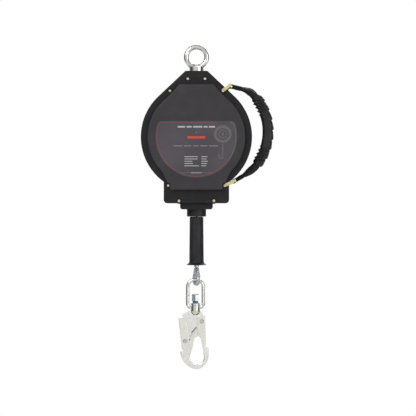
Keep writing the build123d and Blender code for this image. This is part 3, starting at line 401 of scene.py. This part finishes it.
# Drum and spring case: pressure cast aluminium, dull grey with a sandy skin.
cast_alloy = plated("cast_alloy", (0.36, 0.37, 0.38), (0.55, 0.56, 0.57), 0.48, 120)
for node in ("drum", "spring_case"):
    dress(node, cast_alloy)

# Power spring and small coil springs: blue tempered spring steel, lightly oiled.
blued_steel = plated("blued_spring_steel", (0.1, 0.12, 0.18), (0.3, 0.32, 0.38), 0.3, 260)
for node in ("power_spring", "pawl_springs", "gate_spring", "lever_spring"):
    dress(node, blued_steel)

# Drum bushes and rope clamp: turned bronze.
bronze = plated("turned_bronze", (0.38, 0.24, 0.1), (0.62, 0.44, 0.22), 0.34)
for node in ("drum_bushes", "rope_clamp"):
    dress(node, bronze)

# Anchor eye: drop forged carbon steel, ground and bright plated, its collar turned on the cover.
# The ring keeps faint forging waves under fine rub marks.
eye_plate = plated("bright_plated_eye", (0.58, 0.57, 0.56), (0.72, 0.71, 0.69), 0.2, 160)
fine_marks = speckle(eye_plate, 900, 3, (1, 1, 0.15))
relief(eye_plate, speckle(eye_plate, 70, 2), 0.08 * mm, 0.2, relief(eye_plate, fine_marks, 0.03 * mm, 0.5))
dress("eye_bolt", eye_plate)

# Rope guide: turned black acetal nozzle in the neck, which leads the rope out straight.
# Smooth and a little waxy, with fine marks from the lathe.
acetal = new_finish("black_acetal", (0.012, 0.0118, 0.013), 0.36)
turned_tones = [(0.3, (0.009, 0.009, 0.0102)), (0.7, (0.019, 0.0185, 0.021))]
coloured(acetal, graded(acetal, speckle(acetal, 60, 5), turned_tones))
glossed(acetal, speckle(acetal, 160, 4), 0.3, 0.48)
relief(acetal, speckle(acetal, 1500, 2, (0.05, 0.05, 1)), 0.05 * mm, 0.5)
dress("rope_guide", acetal)

# Wire rope: 4.8 mm galvanised steel, six strands laid round a core.
# The straight runs carry their lay as relief about the rope's own axis.
rope_radius = 2.4 * mm
strand_count = 6
lay_length = 34 * mm
galvanised_dark, galvanised_light = (0.3, 0.31, 0.32), (0.6, 0.61, 0.62)
laid_wire = plated("laid_wire_rope", galvanised_dark, galvanised_light, 0.38, 600)
where = add_node(laid_wire, "ShaderNodeTexCoord")
parts = add_node(laid_wire, "ShaderNodeSeparateXYZ")
around = add_node(laid_wire, "ShaderNodeMath", operation="ARCTAN2")
turns = add_node(laid_wire, "ShaderNodeMath", operation="MULTIPLY")
turns.inputs[1].default_value = strand_count
advance = add_node(laid_wire, "ShaderNodeMath", operation="MULTIPLY")
advance.inputs[1].default_value = 2 * pi * strand_count / lay_length
phase = add_node(laid_wire, "ShaderNodeMath", operation="ADD")
wave = add_node(laid_wire, "ShaderNodeMath", operation="SINE")
join(laid_wire, where.outputs["Object"], parts.inputs["Vector"])
join(laid_wire, parts.outputs["Y"], around.inputs[0])
join(laid_wire, parts.outputs["X"], around.inputs[1])
join(laid_wire, around.outputs[0], turns.inputs[0])
join(laid_wire, parts.outputs["Z"], advance.inputs[0])
join(laid_wire, turns.outputs[0], phase.inputs[0])
join(laid_wire, advance.outputs[0], phase.inputs[1])
join(laid_wire, phase.outputs[0], wave.inputs[0])
relief(laid_wire, wave.outputs[0], 0.4 * mm, 1.0)
for node in ("rope_stretch", "rope_tail", "rope_run"):
    dress(node, laid_wire)
galvanised = plated("galvanised_wire", galvanised_dark, galvanised_light, 0.36, 500)
dress("rope_winding", galvanised)

# Rope eye: the rope's end laid back round the thimble, as real strands.
# Six strands twist round a core along the legs and the wrap, and go up into the ferrule.
thimble_turn = radians(25)
wrap_radius = 13.0 * mm
eye_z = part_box("thimble")[0].z + wrap_radius + 0.8 * mm
leg_top_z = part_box("rope_eye")[1].z
leg_x = 2.6 * mm
across = Vector((sin(thimble_turn), -cos(thimble_turn), 0))
outward_y = Vector((cos(thimble_turn), sin(thimble_turn), 0))


def loft_mesh(name, rings, closed=False):
    """Skin over rings of equal point count, capped at the ends unless it closes on itself."""
    form = bmesh.new()
    loops = [[form.verts.new(point) for point in ring] for ring in rings]
    pairs = list(zip(loops, loops[1:])) + ([(loops[-1], loops[0])] if closed else [])
    for low, high in pairs:
        for k in range(len(low)):
            form.faces.new((low[k - 1], low[k], high[k], high[k - 1]))
    if not closed:
        form.faces.new(loops[0][::-1])
        form.faces.new(loops[-1])
    bmesh.ops.recalc_face_normals(form, faces=form.faces)
    mesh = bpy.data.meshes.new(name)
    form.to_mesh(mesh)
    form.free()
    return mesh


def soften(piece, angle=40):
    """Smooth shading that keeps edges sharper than the angle."""
    piece.data.shade_smooth()
    piece.data.set_sharp_from_angle(angle=radians(angle))
    return piece


def joined_mesh(name, meshes):
    """Several meshes as one."""
    form = bmesh.new()
    for mesh in meshes:
        form.from_mesh(mesh)
        bpy.data.meshes.remove(mesh)
    whole = bpy.data.meshes.new(name)
    form.to_mesh(whole)
    form.free()
    return whole


def tube_mesh(name, path, radius, sides, binormal=None):
    """Round tube along a path of points."""
    rings = []
    for k, point in enumerate(path):
        along = (path[min(k + 1, len(path) - 1)] - path[max(k - 1, 0)]).normalized()
        side = along.cross(binormal or Vector((0, 1, 0)))
        if side.length < 0.2:
            side = along.cross(Vector((1, 0, 0)))
        side.normalize()
        up = along.cross(side)
        turns = [2 * pi * j / sides for j in range(sides)]
        rings.append([point + side * radius * cos(a) + up * radius * sin(a) for a in turns])
    return loft_mesh(name, rings)


def eye_line(step):
    """Middle of the rope from the ferrule down one leg, round the thimble and back up."""
    rise = leg_top_z - eye_z
    reach = sqrt(leg_x**2 + rise**2)
    touch = atan2(rise, leg_x) - acos(wrap_radius / reach)
    touch_point = (wrap_radius * cos(touch), eye_z + wrap_radius * sin(touch))
    leg_length = sqrt(reach**2 - wrap_radius**2)
    leg_steps, wrap_steps = int(leg_length / step), int(wrap_radius * (pi + 2 * touch) / step)
    run_x, run_z = touch_point[0] - leg_x, touch_point[1] - leg_top_z
    parts = [k / leg_steps for k in range(leg_steps)]
    points = [(leg_x + run_x * part, leg_top_z + run_z * part) for part in parts]
    points += arc_points((0, eye_z), wrap_radius, degrees(touch), -180 - degrees(touch), wrap_steps)
    points += [(-x, z) for x, z in points[:leg_steps][::-1]]
    return [across * x + Vector((0, 0, z)) for x, z in points]


strand_step = 0.9 * mm
middle_line = eye_line(strand_step)
strands = [tube_mesh("core", middle_line, rope_radius / 3, 8, outward_y)]
for strand in range(strand_count):
    path = []
    for k, point in enumerate(middle_line):
        along = (middle_line[min(k + 1, len(middle_line) - 1)] - middle_line[max(k - 1, 0)]).normalized()
        side = along.cross(outward_y)
        turn = 2 * pi * (strand / strand_count + k * strand_step / lay_length)
        path.append(point + (side * cos(turn) + outward_y * sin(turn)) * rope_radius * 2 / 3)
    strands.append(tube_mesh("strand", path, rope_radius * 0.345, 10, outward_y))
eye_mesh = joined_mesh("rope_eye_strands", strands)
rope_eye = soften(add_piece("rope_eye_strands", eye_mesh, galvanised, "line_end"))
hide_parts("rope_eye")

# Ferrule: oval aluminium sleeve swaged over both rope legs.
# The press leaves faint ridges across it.
swaged = plated("swaged_alloy", (0.5, 0.51, 0.52), (0.74, 0.75, 0.76), 0.34, 150)
relief(swaged, speckle(swaged, 500, 2, (0.1, 0.1, 1)), 0.15 * mm, 0.6)
dress("ferrule", swaged)

# Grip sleeve: moulded black rubber over the rope end, flared at the bottom as a stop for the hand.
# Satin with a faint drawn grain along it and dust in the grain.
rubber = new_finish("grip_rubber", (0.011, 0.011, 0.013), 0.46)
rubber_tones = [(0.3, (0.008, 0.008, 0.0095)), (0.72, (0.02, 0.0195, 0.022))]
rubber_colour = graded(rubber, speckle(rubber, 45, 6), rubber_tones)
dust = ranged(rubber, speckle(rubber, 420, 4), 0.64, 0.8, 0, 0.3)
dust_colour = add_node(rubber, "ShaderNodeRGB")
dust_colour.outputs[0].default_value = (0.06, 0.058, 0.056, 1)
coloured(rubber, mixed(rubber, dust, rubber_colour, dust_colour.outputs[0]))
glossed(rubber, speckle(rubber, 120, 4), 0.4, 0.58)
drawn_grain = relief(rubber, speckle(rubber, 1400, 3, (1, 1, 0.2)), 0.08 * mm, 0.5)
relief(rubber, speckle(rubber, 110, 2), 0.2 * mm, 0.25, drawn_grain)
dress("grip_sleeve", rubber)

# Thimble: pressed steel teardrop in the rope's eye, blue passivated zinc.
blue_zinc = plated("blue_passivated_zinc", (0.38, 0.44, 0.47), (0.66, 0.72, 0.74), 0.28, 140)
dress("thimble", blue_zinc)

# Swivel link: bent round bar closed in a forged boss, bright zinc with a warm cast.
# A low butt weld swells one leg.
warm_zinc = plated("warm_bright_zinc", (0.6, 0.59, 0.55), (0.76, 0.75, 0.7), 0.2, 220)
dress("swivel_link", warm_zinc)
link_low, link_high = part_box("swivel_link")
link_wire = 4.0 * mm
weld_swell, weld_sunk, weld_half_length = 0.4 * mm, 0.05 * mm, 3.6 * mm
weld_steps, weld_sides = 12, 36
weld_x, weld_z = link_low.x + link_wire, (link_low.z + link_high.z) / 2 + 4 * mm
circle = [2 * pi * j / weld_sides for j in range(weld_sides)]
weld_rings = []
for k in range(weld_steps + 1):
    along_weld = 2 * k / weld_steps - 1
    swell = link_wire + weld_swell * cos(along_weld * pi / 2) - weld_sunk
    ring_z = weld_z + along_weld * weld_half_length
    weld_rings.append([Vector((weld_x + swell * cos(a), swell * sin(a), ring_z)) for a in circle])
soften(add_piece("link_weld", loft_mesh("link_weld", weld_rings), warm_zinc, "link"))

# Swivel stud, flange and hex nut: turned steel, cool zinc plate.
# The coloured band between them shows when the line has been shock loaded.
cool_zinc = plated("cool_zinc", (0.46, 0.52, 0.55), (0.74, 0.79, 0.81), 0.26, 160)
for node in ("swivel_stud", "swivel_flange", "swivel_nut"):
    dress(node, cool_zinc)
band_paint = new_finish("teal_band_paint", (0.02, 0.16, 0.15), 0.35)
band_tones = [(0.3, (0.012, 0.1, 0.095)), (0.65, (0.03, 0.2, 0.19))]
coloured(band_paint, graded(band_paint, speckle(band_paint, 350, 4), band_tones))
relief(band_paint, speckle(band_paint, 1200, 2), 0.04 * mm, 0.5)
dress("load_band", band_paint)

# Snap hook: drop forged alloy steel body, satin zinc plated.
# The skin keeps a soft forged waviness under a fine grain.
forged = plated("satin_zinc_forging", (0.76, 0.75, 0.71), (0.93, 0.92, 0.88), 0.3, 260)
fine_skin = relief(forged, speckle(forged, 1300, 3), 0.05 * mm, 0.6)
relief(forged, speckle(forged, 120, 2), 0.3 * mm, 0.3, fine_skin)


def rounded_copy(node, finish, body, width):
    """The CAD node's own shape with its sharp edges rounded, shown in its place."""
    form = bmesh.new()
    form.from_mesh(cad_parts[node].data)
    bmesh.ops.remove_doubles(form, verts=form.verts, dist=0.002 * mm)
    bmesh.ops.dissolve_limit(form, angle_limit=radians(1.5), verts=form.verts, edges=form.edges)
    mesh = bpy.data.meshes.new(f"{node}_rounded")
    form.to_mesh(mesh)
    form.free()
    piece = bpy.data.objects.new(f"{node}_rounded", mesh)
    bpy.context.scene.collection.objects.link(piece)
    rounding = piece.modifiers.new("rounding", "BEVEL")
    rounding.width = width
    rounding.segments = 3
    rounding.limit_method = "ANGLE"
    rounding.angle_limit = radians(35)
    shown = bpy.context.evaluated_depsgraph_get()
    final = bpy.data.meshes.new_from_object(piece.evaluated_get(shown))
    final.materials.clear()
    bpy.data.objects.remove(piece)
    rounded = add_piece(f"{node}_rounded", final, finish, body)
    soften(rounded, 30)
    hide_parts(node)
    return rounded


hook_rounding = 1.8 * mm
rounded_copy("hook_body", forged, "hook", hook_rounding)
hook_crown_rise = 0.7 * mm
swivel_x = sum(corner.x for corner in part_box("swivel_stud")) / 2
datum_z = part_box("hook_body")[1].z - hook_crown_rise
hook_face = 5.5 * mm


def on_hook(x, z):
    """Point given in millimetres from the swivel's centre."""
    return (swivel_x + x * mm, datum_z + z * mm)


# Latch link: the thin stamped arm that ties the gate to the lock lever, with a round eye.
# One lies on each face of the hook body. Beside it a near-black strip of painted shade stands for the dark
# slot.
arm_top, arm_foot, arm_eye = on_hook(3.0, -40.5), on_hook(-9.5, -55.5), on_hook(-11.0, -57.6)
slot_top, slot_foot = on_hook(2.6, -36.6), on_hook(-9.2, -50.6)
lower_slot = [on_hook(-12.2, -64.5), on_hook(-15.6, -71.0), on_hook(-19.4, -78.5)]
arm_half_width, arm_eye_radius, sunk = 2.1 * mm, 3.6 * mm, 0.05 * mm
arm_proud, arm_eye_proud, slot_proud = 0.34 * mm, 0.36 * mm, 0.06 * mm
# Painted shade: near-black material with speckled darker and lighter tone, for the shade in the slots.
slot_shadow = new_finish("slot_shadow", (0.02, 0.02, 0.02), 0.7)
slot_shade_tones = [(0.3, (0.01, 0.01, 0.01)), (0.7, (0.05, 0.048, 0.044))]
coloured(slot_shadow, graded(slot_shadow, speckle(slot_shadow, 700), slot_shade_tones))
relief(slot_shadow, speckle(slot_shadow, 1500), 0.05 * mm, 0.6)
for side, face_name in ((-1, "front"), (1, "rear")):
    skin = side * (hook_face - sunk)
    arm = band_outline([arm_top, arm_foot], arm_half_width)
    eye = arc_points(arm_eye, arm_eye_radius, 0, 345, 23)
    arm_mesh = slab_mesh("latch_link", [arm], skin, side * (hook_face + arm_proud))
    eye_mesh = slab_mesh("latch_eye", [eye], skin, side * (hook_face + arm_eye_proud))
    arm_piece = joined_mesh(f"latch_link_{face_name}", [arm_mesh, eye_mesh])
    add_piece(f"latch_link_{face_name}", arm_piece, warm_zinc, "hook")
    # Painted shade: flat dark strips over the slots, a hair proud of the hook face.
    slots = [band_outline([slot_top, slot_foot], 0.95 * mm), band_outline(lower_slot, 0.8 * mm)]
    slot_mesh = slab_mesh(f"latch_slot_shade_{face_name}", slots, skin, side * (hook_face + slot_proud))
    add_piece(f"latch_slot_shade_{face_name}", slot_mesh, slot_shadow, "hook")

# Gate and lock lever: channels pressed from 1.8 mm sheet, satin zinc with lengthwise draw marks.
# Each turns on a rivet with domed heads through the hook body.
pressed = plated("pressed_zinc_sheet", (0.8, 0.79, 0.73), (0.93, 0.92, 0.86), 0.24, 240, (1, 1, 0.1))
sheet_rounding = 1.2 * mm
for node in ("gate", "lock_lever"):
    rounded_copy(node, pressed, node, sheet_rounding)
rivet_steel = plated("rivet_steel", (0.4, 0.39, 0.38), (0.68, 0.66, 0.64), 0.28, 200)
for node in ("gate_rivet", "lever_rivet"):
    dress(node, rivet_steel)

# Strap yokes: round wire and flat legs bent from steel rod, bright yellow zinc.
# They sit under the two handle screws and carry the webbing loops.
yellow_zinc = plated("yellow_zinc", (0.52, 0.42, 0.16), (0.86, 0.76, 0.4), 0.24, 150)
yoke_rounding = 0.5 * mm
for node in ("upper_yoke", "lower_yoke"):
    rounded_copy(node, yellow_zinc, "housing", yoke_rounding)

# Handle webbing: one black polyester strap, 25 mm wide, folded round each yoke bar, sewn back on
# itself inside a keeper, then gathered lengthwise so that it fits inside the rubber grip.
webbing = new_finish("woven_webbing", (0.012, 0.012, 0.014), 0.78)
webbing_place = add_node(webbing, "ShaderNodeUVMap")
ribs = add_node(webbing, "ShaderNodeTexWave", wave_type="BANDS", bands_direction="X", Scale=1.0)
picks = add_node(webbing, "ShaderNodeTexWave", wave_type="BANDS", bands_direction="Y", Scale=1.0)
join(webbing, webbing_place.outputs["UV"], ribs.inputs["Vector"])
join(webbing, webbing_place.outputs["UV"], picks.inputs["Vector"])
weave = add_node(webbing, "ShaderNodeMath", operation="MULTIPLY")
join(webbing, ribs.outputs["Fac"], weave.inputs[0])
join(webbing, picks.outputs["Fac"], weave.inputs[1])
yarn = graded(webbing, weave.outputs[0], [(0.1, (0.005, 0.005, 0.006)), (0.7, (0.026, 0.026, 0.03))])
coloured(webbing, yarn)
fuzz = relief(webbing, speckle(webbing, 2200, 3), 0.08 * mm, 0.6)
relief(webbing, weave.outputs[0], 0.35 * mm, 0.9, fuzz)
shader_of(webbing).inputs["Sheen Weight"].default_value = 0.08
shader_of(webbing).inputs["Sheen Roughness"].default_value = 0.5
thread = new_finish("sewing_thread", (0.06, 0.06, 0.065), 0.6)
thread_tones = [(0.3, (0.03, 0.03, 0.033)), (0.7, (0.09, 0.09, 0.095))]
coloured(thread, graded(thread, speckle(thread, 1500), thread_tones))
relief(thread, speckle(thread, 4000), 0.05 * mm, 0.8)
webbing_half = 12.4 * mm
ply_half = 1.0 * mm
ply_offset = 0.92 * mm
bar_bend = 4.2 * mm
strap_twist = radians(14)
keeper_half, keeper_half_width = 4.7 * mm, 12.9 * mm
stitch_length, thread_radius = 1.7 * mm, 0.3 * mm
rib_pitch = 1.5 * mm
pick_pitch = 1.1 * mm
grip_middle = (40.2 * mm, -170.9 * mm)
grip_arc = 124 * mm
grip_angles = (40.3, -38.0)


def grip_point(angle, out=0.0):
    """Point on the grip's middle line in (x, z), moved outwards by out."""
    radius = grip_arc + out
    return (grip_middle[0] + radius * cos(radians(angle)), grip_middle[1] + radius * sin(radians(angle)))


def strap_mesh(name, path, sections):
    """Strap along a path of (x, z) points; each section is (half thickness, half width, fold depth)."""
    rings, travelled = [], [0.0]
    for k, (x, z) in enumerate(path):
        before, after = path[max(k - 1, 0)], path[min(k + 1, len(path) - 1)]
        along = Vector((after[0] - before[0], 0, after[1] - before[1])).normalized()
        normal = Vector((-along.z, 0, along.x))
        half_thick, half_wide, fold, twist = sections[k]
        turned = Matrix.Rotation(twist, 3, along)
        ring = []
        for px, py in bar_outline(0, 0, 2 * half_wide, 2 * half_thick, 0.9 * half_thick):
            ripple = fold * cos(5 * pi * px / (2 * half_wide) + 0.6)
            ring.append(Vector((x, 0, z)) + turned @ (normal * (py + ripple) + Vector((0, px, 0))))
        rings.append(ring)
        if k:
            travelled.append(travelled[-1] + (Vector(path[k]) - Vector(path[k - 1])).length)
    mesh = loft_mesh(name, rings)
    layer = mesh.uv_layers.new(name="UVMap")
    count = len(rings[0])
    for loop in mesh.loops:
        ring = min(loop.vertex_index // count, len(rings) - 1)
        spot = mesh.vertices[loop.vertex_index].co
        layer.data[loop.index].uv = (spot.y / rib_pitch * 0.3, travelled[ring] / pick_pitch * 0.3)
    return mesh


def spaced(path, step):
    """The same polyline with points at even steps."""
    out = []
    for start, stop in zip(path, path[1:]):
        first, last = Vector(start), Vector(stop)
        count = max(1, int((last - first).length / step))
        out += [tuple(first + (last - first) * k / count) for k in range(count)]
    return out + [tuple(path[-1])]


def smoothed(path, rounds):
    """Polyline with its corners cut again and again until it runs as a curve."""
    for _ in range(rounds):
        cut = [path[0]]
        for start, stop in zip(path, path[1:]):
            first, last = Vector(start), Vector(stop)
            cut += [tuple(first * 0.75 + last * 0.25), tuple(first * 0.25 + last * 0.75)]
        path = cut + [path[-1]]
    return path


def sew_loop(end, bar, join_at, neck, angle, inward):
    """The loop on one yoke bar, its sewing, and the gathered strap that goes into the grip."""
    toward = (Vector(join_at) - Vector(bar)).normalized()
    normal = Vector((-toward.y, toward.x))
    lean = degrees(atan2(toward.y, toward.x))
    outer, inner = Vector(join_at) + normal * ply_offset, Vector(join_at) - normal * ply_offset
    loop = [tuple(outer)] + arc_points(bar, bar_bend, lean + 80, lean + 280, 24) + [tuple(inner)]
    loop = spaced(loop, 1.2 * mm)
    plies = strap_mesh("loop", loop, [(ply_half, webbing_half, 0, 0)] * len(loop))
    lead, mouth, inside = (grip_point(angle + turn * inward) for turn in (6, 1, -6))
    run = spaced(smoothed([join_at, neck, lead, mouth, inside], 3), 0.8 * mm)
    sections = []
    for k in range(len(run)):
        gather = k / (len(run) - 1)
        eased = gather * gather * (3 - 2 * gather)
        half_thick = (4.4 + 3.9 * min(1, 1.5 * eased)) * mm
        twist = strap_twist * sin(pi * min(1, 1.25 * gather))
        sections.append((half_thick, webbing_half - 3.0 * mm * eased, 1.3 * mm * min(1, 3 * gather), twist))
    gathered = strap_mesh("gathered", run, sections)
    covered = [tuple(Vector(bar).lerp(Vector(join_at), part)) for part in (0.21, 0.6, 0.8, 1.0)]
    covered.append(tuple(Vector(join_at).lerp(Vector(neck), 0.35)))
    covered = spaced(covered, 1.5 * mm)
    keeper = strap_mesh("keeper", covered, [(keeper_half, keeper_half_width, 0.15 * mm, 0)] * len(covered))
    strap = joined_mesh(f"webbing_{end}", [plies, keeper, gathered])
    piece = soften(add_piece(f"webbing_{end}", strap, webbing, "housing"), 50)
    stitches = []
    loop_length = (Vector(join_at) - Vector(bar)).length
    for row, k, face in product((-8.5, -5.5, 5.5, 8.5), range(5), (1, -1)):
        near = Vector(bar) + toward * ((0.5 + 0.09 * k) * loop_length)
        lift = normal * face * (keeper_half + 0.1 * mm)
        far = near + toward * stitch_length
        ends = [Vector((p.x + lift.x, row * mm, p.y + lift.y)) for p in (near, far)]
        stitches.append(tube_mesh("stitch", ends, thread_radius, 6, Vector((0, 1, 0))))
    sewing = joined_mesh(f"sewing_{end}", stitches)
    soften(add_piece(f"sewing_{end}", sewing, thread, "housing"))
    return piece


upper_bar, lower_bar = (76.4 * mm, -66.4 * mm), (86.0 * mm, -285.5 * mm)
upper_join, upper_neck = (103.0 * mm, -73.0 * mm), (113.0 * mm, -75.6 * mm)
lower_join, lower_neck = (108.0 * mm, -272.5 * mm), (115.0 * mm, -268.5 * mm)
top_strap = sew_loop("top", upper_bar, upper_join, upper_neck, grip_angles[0], 1)
sew_loop("bottom", lower_bar, lower_join, lower_neck, grip_angles[1], -1)
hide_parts("handle_webbing")

# Carry grip: thick black rubber moulding sleeved over the strap. Overlapping plates run along its
# back, short teeth bite on the palm side near both ends, and the middle is left smooth.
plate_count = 8
plate_rise = 3.4 * mm
tooth_pitch = 10.5 * mm
tooth_rise = 5.4 * mm
bite_reach = 0.31
palm_bulge = 1.6 * mm
swirl_rise = 1.5 * mm
grip_roundness = 2.6
grip_steps, grip_sides = 230, 56
grip_back, grip_half_width = 10.8 * mm, 14.2 * mm
grip_sweep = grip_angles[0] - grip_angles[1]
grip_rings = []
for k in range(grip_steps + 1):
    part = k / grip_steps
    angle = grip_angles[1] + grip_sweep * part
    plate = (part * plate_count) % 1
    groove = min(1, min(plate, 1 - plate) * 9)
    plate_height = plate_rise * (0.25 + 0.75 * (1 - plate)) * groove
    from_end = min(part, 1 - part)
    bite = max(0.0, min(1, (bite_reach - from_end) * 12)) * min(1, from_end * 30)
    tooth = (from_end * radians(grip_sweep) * grip_arc / tooth_pitch) % 1
    tooth_height = tooth_rise * bite * (1 - tooth) ** 1.4 * min(1, tooth * 9)
    smooth_bulge = palm_bulge * (1 - bite)
    end_taper = min(1, 0.72 + from_end * 7)
    ring = []
    for j in range(grip_sides):
        turn = 2 * pi * j / grip_sides
        back, palm = max(0.0, cos(turn)), max(0.0, -cos(turn))
        swirl_turn = 2 * pi * (from_end * 22 + 0.9 * palm - 0.9 * back)
        swirl = swirl_rise * bite * sin(turn) ** 2 * sin(swirl_turn)
        reach = grip_back * end_taper + plate_height * min(1, back * 2.2) + swirl
        reach += (tooth_height + smooth_bulge) * min(1, palm * 2.2)
        squared = abs(cos(turn)) ** grip_roundness + abs(sin(turn)) ** grip_roundness
        shape = squared ** (-1 / grip_roundness)
        wide = (grip_half_width * end_taper + swirl) * shape * sin(turn)
        x, z = grip_point(angle, reach * shape * cos(turn))
        ring.append(Vector((x, wide, z)))
    grip_rings.append(ring)
grip = add_piece("carry_grip", loft_mesh("carry_grip", grip_rings), rubber, "housing")
soften(grip, 32)
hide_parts("handle_grip")

# Floor and light: a plain pale floor far below, under the lowest place the hook can reach,
# so that the lifeline hangs free above it. A soft key from the left, a fill from the right and a
# rim from behind light it. The room is pale to the front and back and dim at the sides.
line_reach, floor_gap = 15.0, 0.2
floor_radius, floor_thickness = 60, 0.02
floor_mesh = slab_mesh("floor", [arc_points((0, 0), floor_radius, 0, 354, 59)], 0, floor_thickness)
floor = bpy.data.objects.new("floor", floor_mesh)
bpy.context.scene.collection.objects.link(floor)
floor.rotation_euler = (radians(90), 0, 0)
floor.location.z = cad_box[0][2] - line_reach - floor_gap
pale_floor = new_finish("pale_floor", (0.5, 0.5, 0.5), 0.9)
shader_of(pale_floor).inputs["Emission Color"].default_value = (1, 1, 1, 1)
shader_of(pale_floor).inputs["Emission Strength"].default_value = 0.55
floor_mesh.materials.append(pale_floor)
sky = bpy.data.worlds.new("pale_room")
sky.use_nodes = True
seen = sky.node_tree.nodes["Background"]
seen.inputs["Color"].default_value = (1, 1, 1, 1)
lit = sky.node_tree.nodes.new("ShaderNodeBackground")
direction = sky.node_tree.nodes.new("ShaderNodeTexCoord")
split = sky.node_tree.nodes.new("ShaderNodeSeparateXYZ")
depthwise = sky.node_tree.nodes.new("ShaderNodeMath")
depthwise.operation = "ABSOLUTE"
glow = sky.node_tree.nodes.new("ShaderNodeMath")
glow.operation = "ADD"
tones = []
depth_tones, height_tones = (0.3, 0.9, 0.1, 0.95), (0.35, 0.95, 0.0, 0.5)
for low, high, dark, bright in (depth_tones, height_tones):
    tone = sky.node_tree.nodes.new("ShaderNodeMapRange")
    for key, value in (("From Min", low), ("From Max", high), ("To Min", dark), ("To Max", bright)):
        tone.inputs[key].default_value = value
    tones.append(tone)
ray = sky.node_tree.nodes.new("ShaderNodeLightPath")
choice = sky.node_tree.nodes.new("ShaderNodeMixShader")
links = sky.node_tree.links
links.new(direction.outputs["Generated"], split.inputs["Vector"])
links.new(split.outputs["Y"], depthwise.inputs[0])
links.new(depthwise.outputs[0], tones[0].inputs["Value"])
links.new(split.outputs["Z"], tones[1].inputs["Value"])
links.new(tones[0].outputs["Result"], glow.inputs[0])
links.new(tones[1].outputs["Result"], glow.inputs[1])
links.new(glow.outputs[0], lit.inputs["Strength"])
links.new(ray.outputs["Is Camera Ray"], choice.inputs["Fac"])
links.new(lit.outputs["Background"], choice.inputs[1])
links.new(seen.outputs["Background"], choice.inputs[2])
links.new(choice.outputs["Shader"], sky.node_tree.nodes["World Output"].inputs["Surface"])
bpy.context.scene.world = sky
middle = Vector((26.45 * mm, 0, -346.8 * mm))


def add_light(name, place, size, power):
    """Square soft light aimed at the middle of the object."""
    data = bpy.data.lights.new(name, "AREA")
    data.size = size
    data.energy = power
    lamp = bpy.data.objects.new(name, data)
    bpy.context.scene.collection.objects.link(lamp)
    lamp.location = middle + Vector(place)
    lamp.rotation_euler = (-Vector(place)).to_track_quat("-Z", "Y").to_euler()
    return lamp


add_light("key", (-1.3, -1.8, 1.4), 1.0, 26)
add_light("fill", (1.6, -1.5, 0.3), 1.4, 12)
add_light("rim", (0.4, 1.8, 1.2), 1.0, 14)

# Camera: square on to the label from well back, framing the hanging lifeline.
view_height = 0.9568
lens = bpy.data.cameras.new("camera")
lens.lens = 180
lens.sensor_width = 36
camera = bpy.data.objects.new("camera", lens)
bpy.context.scene.collection.objects.link(camera)
camera.location = middle + Vector((0, -view_height * lens.lens / lens.sensor_width, 0))
camera.rotation_euler = (radians(90), 0, 0)
bpy.context.scene.camera = camera
bpy.context.scene.view_settings.view_transform = "Standard"
